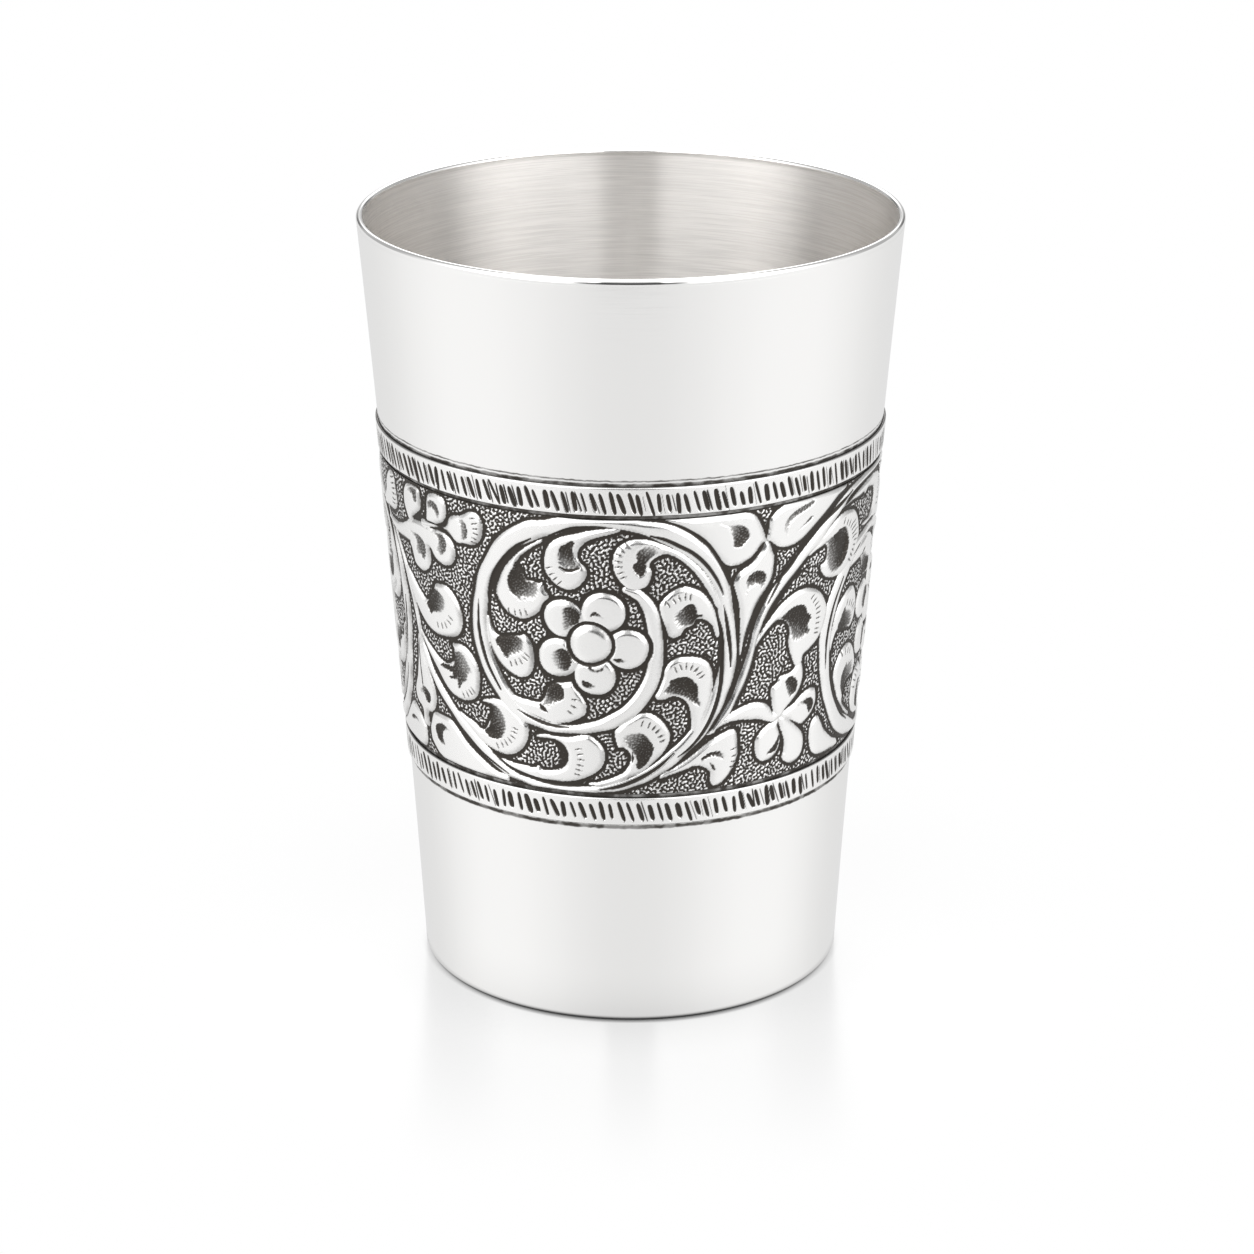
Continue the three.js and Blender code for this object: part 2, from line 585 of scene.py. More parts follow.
def wrapped_grid(name, columns, rows, start, sweep, foot, top, standing):
    """A grid bent round the wall. standing gives each row and column its height off the back."""
    clear_selection()
    bpy.ops.mesh.primitive_grid_add(x_subdivisions=columns, y_subdivisions=rows, size=1)
    piece = new_piece(name)
    x, y, _ = places(piece)
    column = np.rint((x + 0.5) * columns).astype(int)
    row = np.rint((y + 0.5) * rows).astype(int)
    z = foot + (top - foot) * row / rows
    angle = FRONT + start + sweep * column / columns
    radius = wall_radius(z) + SOLDER_GAP + standing[row, column]
    move(piece, radius * np.cos(angle), radius * np.sin(angle), z)
    return piece, row, column


print("front of the cup faces", round(math.degrees(FRONT)), "degrees")

# %% Close a strip
SLACK = 0.001 * MM
RELIEF_SHARP_ANGLE = math.radians(75)


def close_back(piece, foot, top):
    """Extrudes the strip's long edges onto the wall and bridges them. Short ends get a face each."""
    def on_long_edge(edge):
        """Tells whether an open edge lies along the foot or the top of the strip."""
        levels = [vertex.co.z for vertex in edge.verts]
        return edge.is_boundary and (max(levels) < foot + SLACK or min(levels) > top - SLACK)

    bpy.ops.object.mode_set(mode="EDIT")
    bpy.ops.mesh.select_mode(type="EDGE")
    bpy.ops.mesh.select_all(action="SELECT")
    bpy.ops.mesh.remove_doubles(threshold=SLACK)
    pick(piece, "EDGE", on_long_edge)
    bpy.ops.mesh.extrude_edges_move(TRANSFORM_OT_translate={"value": (0, 0, 0)})
    shape = bmesh.from_edit_mesh(piece.data)
    for vertex in shape.verts:
        if vertex.select:
            back = wall_radius(vertex.co.z) + SOLDER_GAP
            vertex.co.xy *= back / vertex.co.xy.length
    bmesh.update_edit_mesh(piece.data)
    bpy.ops.mesh.bridge_edge_loops()
    pick(piece, "EDGE", lambda edge: edge.is_boundary)
    bpy.ops.mesh.edge_face_add()
    bpy.ops.mesh.select_all(action="SELECT")
    bpy.ops.mesh.normals_make_consistent(inside=False)
    shape = bmesh.from_edit_mesh(piece.data)
    open_edges = sum(not edge.is_manifold for edge in shape.edges)
    bpy.ops.object.mode_set(mode="OBJECT")
    bpy.ops.object.shade_smooth_by_angle(angle=RELIEF_SHARP_ANGLE)
    print(piece.name, "open edges:", open_edges)


print("vertices closer than this are merged, mm:", round(SLACK / MM, 4))

# %% Soft steps, and the oxide mask
def store_oxide_and_shade(piece, values):
    """Keeps the mask of oxide and painted shade on the vertices, for the material to read."""
    mask = piece.data.attributes.new("oxide_and_shade", "FLOAT", "POINT")
    mask.data.foreach_set("value", np.ascontiguousarray(values, dtype=np.float32))


def soft(start, end, value):
    """A soft step: 0 at start, 1 at end, and it may run downwards."""
    share = np.clip((value - start) / (end - start), 0, 1)
    return share * share * (3 - 2 * share)


print("a soft step half way:", soft(0.0, 1.0, 0.5))

# %% [markdown]
# ## The hatched borders
# Each border is a plain fillet with a row of leaning chisel cuts, and a thin second stroke beside
# some of them. The cuts are lens shaped, and no two are alike: a seeded random number
# generator varies their lean, length and width, as a hand would, and gives the same border
# each time the script runs.

# %% Cut a hatched border
BORDER_ROWS = 26
COLUMNS_PER_CUT = 12
CUT_DEPTH = 0.17
CUT_LEAN = -0.27
SHIFT_SPREAD, LEAN_SPREAD, LENGTH_SPREAD, HEIGHT_SPREAD = 0.08, 0.07, 0.15, 0.1
# place of each row between two cuts, then its mean width and the spread of that, mm
CUT_ROWS = ((0.0, (0.25, 0.05)), (0.42, (-0.02, 0.07)))
STRIP_EDGE = 0.12
CUT_DARK, STRIP_EDGE_DARK = 0.95, 0.5


def hatched_border(name, node, cuts, cut_foot, cut_top, seed):
    """One border with its cuts, between two heights in millimetres."""
    low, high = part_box(node)
    foot, top = low.z, high.z
    face = (high.x - wall_radius(top) - SOLDER_GAP) / MM
    dice = np.random.default_rng(seed)
    columns = cuts * COLUMNS_PER_CUT
    pitch = 2 * math.pi * wall_radius((foot + top) / 2) / MM / cuts
    along, level = np.meshgrid(
        np.arange(columns + 1) * pitch / COLUMNS_PER_CUT,
        np.linspace(foot / MM, top / MM, BORDER_ROWS + 1),
    )
    middle, half = (cut_foot + cut_top) / 2, (cut_top - cut_foot) / 2
    upright = level - middle
    off = np.ones(along.shape)
    for start, wide in CUT_ROWS:
        spreads = (
            (start * pitch, SHIFT_SPREAD),
            (CUT_LEAN, LEAN_SPREAD),
            (half, LENGTH_SPREAD),
            wide,
            (0, HEIGHT_SPREAD),
        )
        number = np.rint((along - CUT_LEAN * upright) / pitch - start).astype(int)
        shift, lean, length, width, height = (
            dice.normal(mean, spread, cuts)[number % cuts] for mean, spread in spreads
        )
        reach = np.clip(np.abs(upright - height) / length, 0, 1)
        lens = np.abs(along - number * pitch - shift - lean * upright) - width * np.sqrt(1 - reach ** 4)
        off = np.minimum(off, np.where((reach < 1) & (width > 0), lens, 1.0))
    cut = soft(0.06, -0.1, off)
    from_edge = np.minimum(level - foot / MM, top / MM - level)
    eased = STRIP_EDGE * (1 - np.sqrt(1 - np.clip(1 - from_edge / STRIP_EDGE, 0, 1) ** 2))
    standing = (face - eased - CUT_DEPTH * cut) * MM
    standing[:, -1] = standing[:, 0]
    in_cuts = CUT_DARK * soft(0.1, -0.06, off)
    at_edges = STRIP_EDGE_DARK * soft(0.16, 0.02, from_edge)
    piece, row, column = wrapped_grid(name, columns, BORDER_ROWS, 0.0, 2 * math.pi, foot, top, standing)
    store_oxide_and_shade(piece, np.maximum(in_cuts, at_edges)[row, column % columns])
    close_back(piece, foot, top)
    piece.data.materials.append(chased_finish)
    declare(piece, "oxidised_silver", node)


hatched_border("upper_hatching", "upper_border", cuts=176, cut_foot=73.1, cut_top=75.8, seed=3)
hatched_border("lower_hatching", "lower_border", cuts=153, cut_foot=29.8, cut_top=32.4, seed=4)

# %% [markdown]
# ## The chased band: a field to draw on
# Chasing pushes the ground of a sheet down round the motifs with punches, so the whole band is
# one relief. It is drawn here as a silversmith would plan it, flat: two square
# fields, each with one scroll, repeat round the cup. Two arrays hold the height of the metal
# and its oxide, which also carries the painted shade of the forms and the eyes. The ground
# between the motifs is matted with fine worm-like punch marks, made from noise that keeps a
# single wavelength.

# %% The flat field
MM_PER_DEGREE = 0.5585
SCROLL_PITCH = 90 * MM_PER_DEGREE
REPEAT = 2 * SCROLL_PITCH
HALF_FIELD = 19.3
PANEL_COLUMNS = 352
BAND_ROWS = 270
MATTING_HEIGHT = 0.13
MATTING_SHINE = 0.97

u = -SCROLL_PITCH / 2 + np.arange(2 * PANEL_COLUMNS) * SCROLL_PITCH / PANEL_COLUMNS
v = np.linspace(-HALF_FIELD, HALF_FIELD, BAND_ROWS + 1)
along, up = np.meshgrid(u, v)


def worms(wavelength, seed, spread=0.22):
    """Seeded noise of about one wavelength, which meets itself at the ends of the repeat."""
    rough = np.random.default_rng(seed).standard_normal(along.shape)
    waves_up = np.fft.fftfreq(len(v), v[1] - v[0])[:, None]
    waves_along = np.fft.rfftfreq(len(u), u[1] - u[0])[None, :]
    ring = np.exp(-((np.hypot(waves_along, waves_up) * wavelength - 1) / spread) ** 2)
    kept = np.fft.irfft2(np.fft.rfft2(rough) * ring, s=along.shape)
    return kept / kept.std()


matting = soft(-0.1, 0.55, worms(0.56, seed=5, spread=0.4))
ragged = worms(0.5, seed=9)
blotches = worms(1.1, seed=13)
stipple = worms(0.36, seed=17, spread=0.4)
wander = worms(4.5, seed=11)
relief = MATTING_HEIGHT * matting
# the second array: oxide in the hollows, and painted shade on the forms and in the eyes
oxide_and_shade = 1.0 - MATTING_SHINE * matting
print("field, mm:", round(REPEAT, 1), "by", 2 * HALF_FIELD, "- cell", round(u[1] - u[0], 3))

# %% [markdown]
# ## The chased band: outlines and strokes
# A leaf is drawn as a closed outline, and a stem or an engraved line as a stroke with a half
# width at each point. Both become one thing: the distance from each point of the field to
# the nearest edge, negative inside. Every tool below shapes the metal by that distance.

# %% Curves and fills
SAMPLE_STEP = 0.14
TINY = 1e-9


def curve(points, closed):
    """A smooth curve through the points, as closely spaced samples."""
    knots = np.array(points, float)
    if len(knots) == 1:
        return knots
    before, after = (knots[-1], knots[0]) if closed else (knots[0], knots[-1])
    padded = np.vstack((before, knots, after))[:, :2]
    way = padded[2:] - padded[:-2]
    way /= np.hypot(*way.T)[:, None] + TINY
    if closed:
        knots = np.vstack((knots, knots[:1]))
        way = np.vstack((way, way[:1]))
    samples = []
    for start, end, lead, trail in zip(knots, knots[1:], way, way[1:]):
        length = np.hypot(*(end - start)[:2])
        t = np.linspace(0, 1, max(2, int(length / SAMPLE_STEP)), endpoint=False)[:, None]
        part = start + (end - start) * t * t * (3 - 2 * t)
        part[:, :2] += length * (lead * t * (1 - t) ** 2 - trail * t * t * (1 - t))
        samples.append(part)
    return np.vstack((*samples, knots[-1:]))


def fill(path):
    """Marks the points of the field that lie within a closed path, row by row."""
    follow = np.roll(path, -1, axis=0)
    marked = np.zeros(along.shape, bool)
    for row in range(*np.searchsorted(v, (path[:, 1].min(), path[:, 1].max()))):
        crosses = (path[:, 1] <= v[row]) != (follow[:, 1] <= v[row])
        start, end = path[crosses], follow[crosses]
        share = (v[row] - start[:, 1]) / (end[:, 1] - start[:, 1])
        spots = np.sort(start[:, 0] + (end[:, 0] - start[:, 0]) * share)
        marked[row] = np.searchsorted(spots, u) % 2 == 1
    return marked


print("samples along a curve every", SAMPLE_STEP, "mm")

# %% Distance to the nearest edge
STRETCH = 20
REACH = 2.0
FAR = 9.0
LEAST_HALF_WIDTH = 0.04


def distance_to(shapes):
    """How far each point lies outside the nearest shape, and negative inside. Points with a half
    width make a stroke, and points without one a closed outline."""
    nearest = np.full(along.shape, FAR)
    for points in shapes:
        closed = len(points[0]) == 2
        path = curve(points, closed)
        half = np.zeros(len(path)) if closed else np.maximum(path[:, 2], LEAST_HALF_WIDTH)
        for turn in (-REPEAT, 0, REPEAT):
            moved = path[:, :2] + (turn, 0)
            if moved[:, 0].max() < u[0] - REACH or moved[:, 0].min() > u[-1] + REACH:
                continue
            edge = np.full(along.shape, FAR)
            for first in range(0, len(path), STRETCH):
                part = moved[first:first + STRETCH + 1]
                wide = half[first:first + STRETCH + 1]
                low = part.min(axis=0) - wide.max() - REACH
                high = part.max(axis=0) + wide.max() + REACH
                columns = slice(*np.searchsorted(u, (low[0], high[0])))
                rows = slice(*np.searchsorted(v, (low[1], high[1])))
                near = along[rows, columns, None], up[rows, columns, None]
                if near[0].size:
                    off = np.hypot(near[0] - part[:, 0], near[1] - part[:, 1]) - wide
                    edge[rows, columns] = np.minimum(edge[rows, columns], off.min(axis=2))
            if closed:
                edge = np.where(fill(moved), -edge, edge)
            np.minimum(nearest, edge, out=nearest)
    return nearest


def put(points, shift, flip):
    """Points moved along the band, and turned upside down on every second scroll."""
    return [(x + shift, -y if flip else y, *wide) for x, y, *wide in points]


print("distances are exact up to", REACH, "mm from an edge")

# %% [markdown]
# ## The chased band: the tools
# Four tools do all the work. One raises forms with rounded edges and sets a dark groove round
# them, one sinks an eye into a form, one engraves lines, and one sets out rows of ticks.

# %% Tools that raise and sink
# lengths in mm, and shares of the rise or of full dark
FORM_SPREAD = 0.04
EDGE_WANDER, EDGE_GRAIN = 0.03, 0.015
EDGE_SHARE, CROWN_SHARE, CROWN_REACH = 0.84, 0.16, 1.8
# the film along a form's edges is oxide and painted shade; the shade is deepest on edges facing this
# bearing
PAINTED_SHADE_SIDE = math.radians(-30)
FILM_LEAST, PAINTED_SHADE_MOST, FILM_WANDER, FILM_REACH = 0.07, 0.2, 0.05, 1.1
RIM_DARK = 0.7
EYE_STROKE = 0.46
EYE_GRAIN, EYE_FEATHER = 0.04, 0.07
FLECK_SHARE = 0.38


def raise_forms(shapes, rise, groove, edge):
    """Raises the shapes as one form with rounded edges, and cuts a dark groove round it. A thin
    film of oxide is left along the edges, and painted shade darkens them more on one side."""
    even = distance_to(shapes) - FORM_SPREAD + EDGE_WANDER * wander
    off = even + EDGE_GRAIN * ragged
    inside = soft(0.08, -0.08, off)
    rounded = np.sin(np.pi / 2 * np.clip(-even / edge, 0, 1))
    form = rise * (EDGE_SHARE * rounded + CROWN_SHARE * soft(0, CROWN_REACH, -even))
    cut = soft(groove + 0.14, groove - 0.1, off)
    # painted shade: edges that face the shaded side take more of the dark film
    slope_up, slope_along = np.gradient(off, v[1] - v[0], u[1] - u[0])
    facing_shade = soft(-0.2, 0.9, slope_along * math.cos(PAINTED_SHADE_SIDE) + slope_up * math.sin(PAINTED_SHADE_SIDE))
    film_and_shade = np.clip(FILM_LEAST + PAINTED_SHADE_MOST * facing_shade + FILM_WANDER * wander, 0, 1)
    film_and_shade = np.maximum(film_and_shade * soft(FILM_REACH, 0.1, -off), RIM_DARK * soft(0.16, 0.0, -off))
    relief[:] = relief * (1 - cut)
    oxide_and_shade[:] = np.maximum(oxide_and_shade, cut)
    relief[:] = relief * (1 - inside) + form * inside
    oxide_and_shade[:] = oxide_and_shade * (1 - inside) + inside * film_and_shade


def sink_eye(outline, shaded_side, most=0.92, depth=0.24, light=0.42):
    """Sinks a hollow into a form and fills it with oxide. Painted shade makes it dark and sharp on
    one side and lets it fade out on the other.
    """
    middle = (np.min(outline, axis=0) + np.max(outline, axis=0)) / 2
    size = np.ptp(outline, axis=0).max() / 2
    lean = math.radians(shaded_side)
    across = (along - middle[0] + REPEAT / 2) % REPEAT - REPEAT / 2
    upward = up - middle[1]
    toward = (across * math.cos(lean) + upward * math.sin(lean)) / size
    beside = upward * math.cos(lean) - across * math.sin(lean)
    strokes = np.sin(2 * np.pi * beside / EYE_STROKE + 0.9 * wander + 0.5 * blotches)
    # painted shade: share runs from the light side of the eye to its dark side
    share = soft(-1.0, 0.55, toward)
    off = distance_to([outline]) + EYE_GRAIN * ragged + EYE_FEATHER * strokes * (1.3 - share)
    inside = soft(0.1, -0.12 - 0.5 * (1 - share), off)
    fleck = np.clip(0.4 * strokes + 0.8 * stipple, 0, 1.1)
    tone = most * (light + (1 - light) * share) * (1 - FLECK_SHARE * fleck)
    sunk = depth * (0.45 + 0.55 * soft(0.0, -0.9, off))
    relief[:] = relief - inside * np.minimum(relief, sunk)
    oxide_and_shade[:] = np.maximum(oxide_and_shade, inside * tone)


print("tools:", raise_forms.__name__, "and", sink_eye.__name__)

# %% Tools that cut
TICK_TAPER = (0.8, 1.0, 0.5)


def engrave(strokes, depth=0.14, dark=0.95):
    """Cuts dark lines into whatever is already raised."""
    inside = soft(0.09, -0.07, distance_to(strokes))
    relief[:] = relief - inside * np.minimum(relief, depth)
    oxide_and_shade[:] = np.maximum(oxide_and_shade, dark * inside)


def tick_row(row, spacing=0.7, length=0.8, width=0.1):
    """Short cuts set square to a row, as strokes for the engraver."""
    path = curve(row, False)
    run = np.concatenate(([0], np.cumsum(np.hypot(*np.diff(path, axis=0).T))))
    cuts = []
    for stop in np.linspace(0, run[-1], max(2, int(run[-1] / spacing) + 1)):
        spot = min(np.searchsorted(run, stop), len(path) - 1)
        way = path[min(spot + 1, len(path) - 1)] - path[max(spot - 1, 0)]
        side = np.array((-way[1], way[0])) / (np.hypot(*way) + TINY) * length / 2
        ends = (path[spot] - side, path[spot], path[spot] + side)
        cuts.append([(*end, share * width) for end, share in zip(ends, TICK_TAPER)])
    return cuts


print("tools:", engrave.__name__, "and", tick_row.__name__)

# %% [markdown]
# ## The chased band: a scroll
# The stem comes down from one side, runs once round the field and winds in to the rosette. Twelve
# leaves grow from it, and each ends in a curl with a row of ticks and a dark eye of oxide, graded by
# painted shade. Their points are millimetres along and up, measured from the middle of the field. A
# third number is half the width of a stroke.

# %% Stem of a scroll
STEM = [
    (-34.0, 11.0, 0.30), (-31.6, 7.6, 0.50), (-30.0, 4.0, 0.60), (-28.9, 0.5, 0.55),
    (-28.2, -2.6, 0.55), (-26.7, -5.8, 0.65), (-24.4, -8.7, 0.75), (-21.6, -11.2, 0.80),
    (-18.6, -13.5, 0.85), (-15.6, -15.8, 0.80), (-12.6, -17.7, 0.60), (-9, -18.6, 0.50),
    (-4, -18.9, 0.45), (0.5, -18.7, 0.50), (4.5, -17.8, 0.70), (8.3, -16, 0.90), (11.8, -13.2, 1.05),
    (14.8, -10.0, 1.10), (16.7, -6.5, 1.15), (17.8, -3, 1.20), (18.2, 0, 1.20), (18.0, 3, 1.10),
    (17.4, 6, 1.05), (16.9, 9, 1.05), (15.6, 12, 1.15), (13.2, 14.8, 1.30), (10, 17, 1.40),
    (6.3, 18.3, 0.90), (2.5, 18.8, 0.60), (-1.5, 18.7, 0.80), (-4.5, 17.9, 1.10), (-7.5, 16.9, 1.35),
    (-10.7, 14.8, 1.30), (-13, 11.6, 1.15), (-14.6, 8.3, 1.10), (-15.3, 5, 1.20), (-15.5, 2, 1.35),
    (-15.1, -1, 1.35), (-13.9, -4, 1.30), (-12.1, -6.6, 1.20), (-9.7, -8.8, 1.05), (-6.5, -10.1, 0.70),
    (-3.2, -10.35, 0.60), (0.5, -9.7, 0.80), (3.4, -8.5, 1.00), (5.8, -6.5, 1.05), (7.5, -3.9, 1.05),
    (8.3, -1, 1.00), (8.5, 2, 0.90), (8.1, 5, 0.90), (7.3, 7.4, 0.90), (6.2, 8.9, 0.70),
    (4.5, 9.7, 0.40),
]
STEM_LINES = [
    [
        (-15.3, 6.2, 0.05), (-15.45, 4, 0.14), (-15.5, 2, 0.22), (-15.1, -0.5, 0.26),
        (-14.3, -3, 0.22), (-12.6, -6, 0.14),
    ],
    [(2.2, 18.35, 0.06), (0, 18.2, 0.16), (-2.5, 17.7, 0.24), (-5, 16.6, 0.1)],
    [
        (-10.1, -8.4, 0.06), (-8.4, -9.15, 0.16), (-6.5, -9.75, 0.2), (-4.8, -10.0, 0.16),
        (-3.0, -10.05, 0.06),
    ],
    [
        (7.6, 17.1, 0.12), (9.3, 16.6, 0.22), (11.1, 15.6, 0.25), (12.8, 14.5, 0.25),
        (14.4, 12.9, 0.24), (15.7, 11.0, 0.2), (16.6, 9.2, 0.14), (16.9, 8.3, 0.05),
    ],
    [
        (16.0, 6.4, 0.12), (16.95, 2.6, 0.26), (17.15, -1.5, 0.26), (16.95, -4.7, 0.26),
        (16.3, -7.6, 0.28), (15.1, -10.3, 0.26), (13.2, -12.8, 0.22), (11.5, -14.0, 0.08),
    ],
    [
        (-7.3, 15.95, 0.1), (-9.4, 14.5, 0.24), (-11.2, 12.5, 0.3), (-12.7, 10.2, 0.3),
        (-13.5, 7.9, 0.28), (-13.75, 5.7, 0.22), (-13.6, 3.9, 0.1),
    ],
    [
        (-14.6, -15.6, 0.1), (-11.2, -17.3, 0.24), (-6.6, -18.25, 0.26), (-3.5, -18.35, 0.24),
        (0.2, -18.15, 0.1),
    ],
    [
        (-27.3, -3.4, 0.1), (-25.7, -5.3, 0.24), (-24, -7.2, 0.26), (-22.5, -8.7, 0.22),
        (-20.3, -9.65, 0.1),
    ],
    [
        (-25.5, -8.6, 0.1), (-23.2, -10.9, 0.24), (-21.3, -13, 0.26), (-18.2, -15.1, 0.25),
        (-15, -16.7, 0.22), (-12.1, -18, 0.08),
    ],
    [
        (1.1, -18.65, 0.1), (3.8, -18, 0.24), (6.5, -16.8, 0.26), (9, -15.2, 0.22),
        (10.9, -13.4, 0.08),
    ],
    [
        (17.0, 6.8, 0.06), (17.5, 4.5, 0.2), (17.9, 2.2, 0.26), (18.2, 0.2, 0.2), (18.3, -2, 0.08),
    ],
]
print("points along the stem:", len(STEM))

# %% Leaves where the stem enters
# dark is the bearing of the dark side of a leaf's eye, in degrees, where its painted shade is deepest
ENTRY_LEAVES = [
    dict(
        form=[
            (-31.5, 7.3), (-30.6, 6.8), (-29.4, 6.0), (-28.2, 5.0), (-27, 4.0), (-25.7, 3.3),
            (-24.4, 4.4), (-23.5, 6.2), (-22.3, 6.5), (-21.2, 6.5), (-20, 5.8), (-19, 4.5), (-18.5, 3),
            (-18.6, 1.5), (-19.3, 0.2), (-20.4, -0.6), (-22, -0.9), (-24.4, -1.0), (-26, -0.5),
            (-27.3, 0.5), (-28.3, 1.5), (-29.3, 2.8), (-30.3, 4.5), (-31, 6),
        ],
        eye=[
            (-25.6, 2.9), (-24.6, 4.2), (-24, 5.2), (-23, 5.6), (-22, 5.2), (-21.4, 4.5), (-21.4, 3.5),
            (-22, 2.6), (-23, 2.2), (-24, 2.1), (-24.6, 1.7), (-25.1, 2.2),
        ],
        dark=170,
        ticks=[(-23.3, 0.5), (-22.2, 0.7), (-21.2, 1.2), (-20.5, 2.2)],
    ),
    dict(
        form=[
            (-28.6, -1.0), (-28, -1.5), (-26.5, -2.7), (-25, -3.7), (-23.5, -4.5), (-22, -4.7),
            (-20.7, -3.8), (-20.6, -2.4), (-20.9, -1.6), (-20.3, -1.3), (-19.4, -1.2), (-18.4, -1.4),
            (-17.3, -2.1), (-16.5, -3.2), (-16.05, -4.8), (-16.1, -6), (-16.4, -7.3), (-17, -8.3),
            (-18, -8.9), (-19.2, -9.2), (-20.4, -9.2), (-21.8, -8.8), (-23, -7.9), (-24.3, -6.5),
            (-25.8, -4.8), (-27.3, -3.2), (-28.4, -1.8),
        ],
        eye=[
            (-20.4, -2.5), (-19.5, -2.05), (-18.5, -2.4), (-17.7, -3.5), (-17.1, -4.8), (-17.8, -5.2),
            (-18.2, -6.2), (-19.2, -6.8), (-19.9, -7.6), (-20.2, -6.5), (-21.7, -6.5), (-20.9, -5.9),
            (-22.3, -5.5), (-23.4, -5.2), (-22, -4.9), (-20.8, -4.6), (-20.9, -3.7),
        ],
        dark=200,
        ticks=[(-19.1, -8.3), (-18.2, -7.9), (-17.3, -7.2)],
    ),
]
print("leaves at the entry:", len(ENTRY_LEAVES))

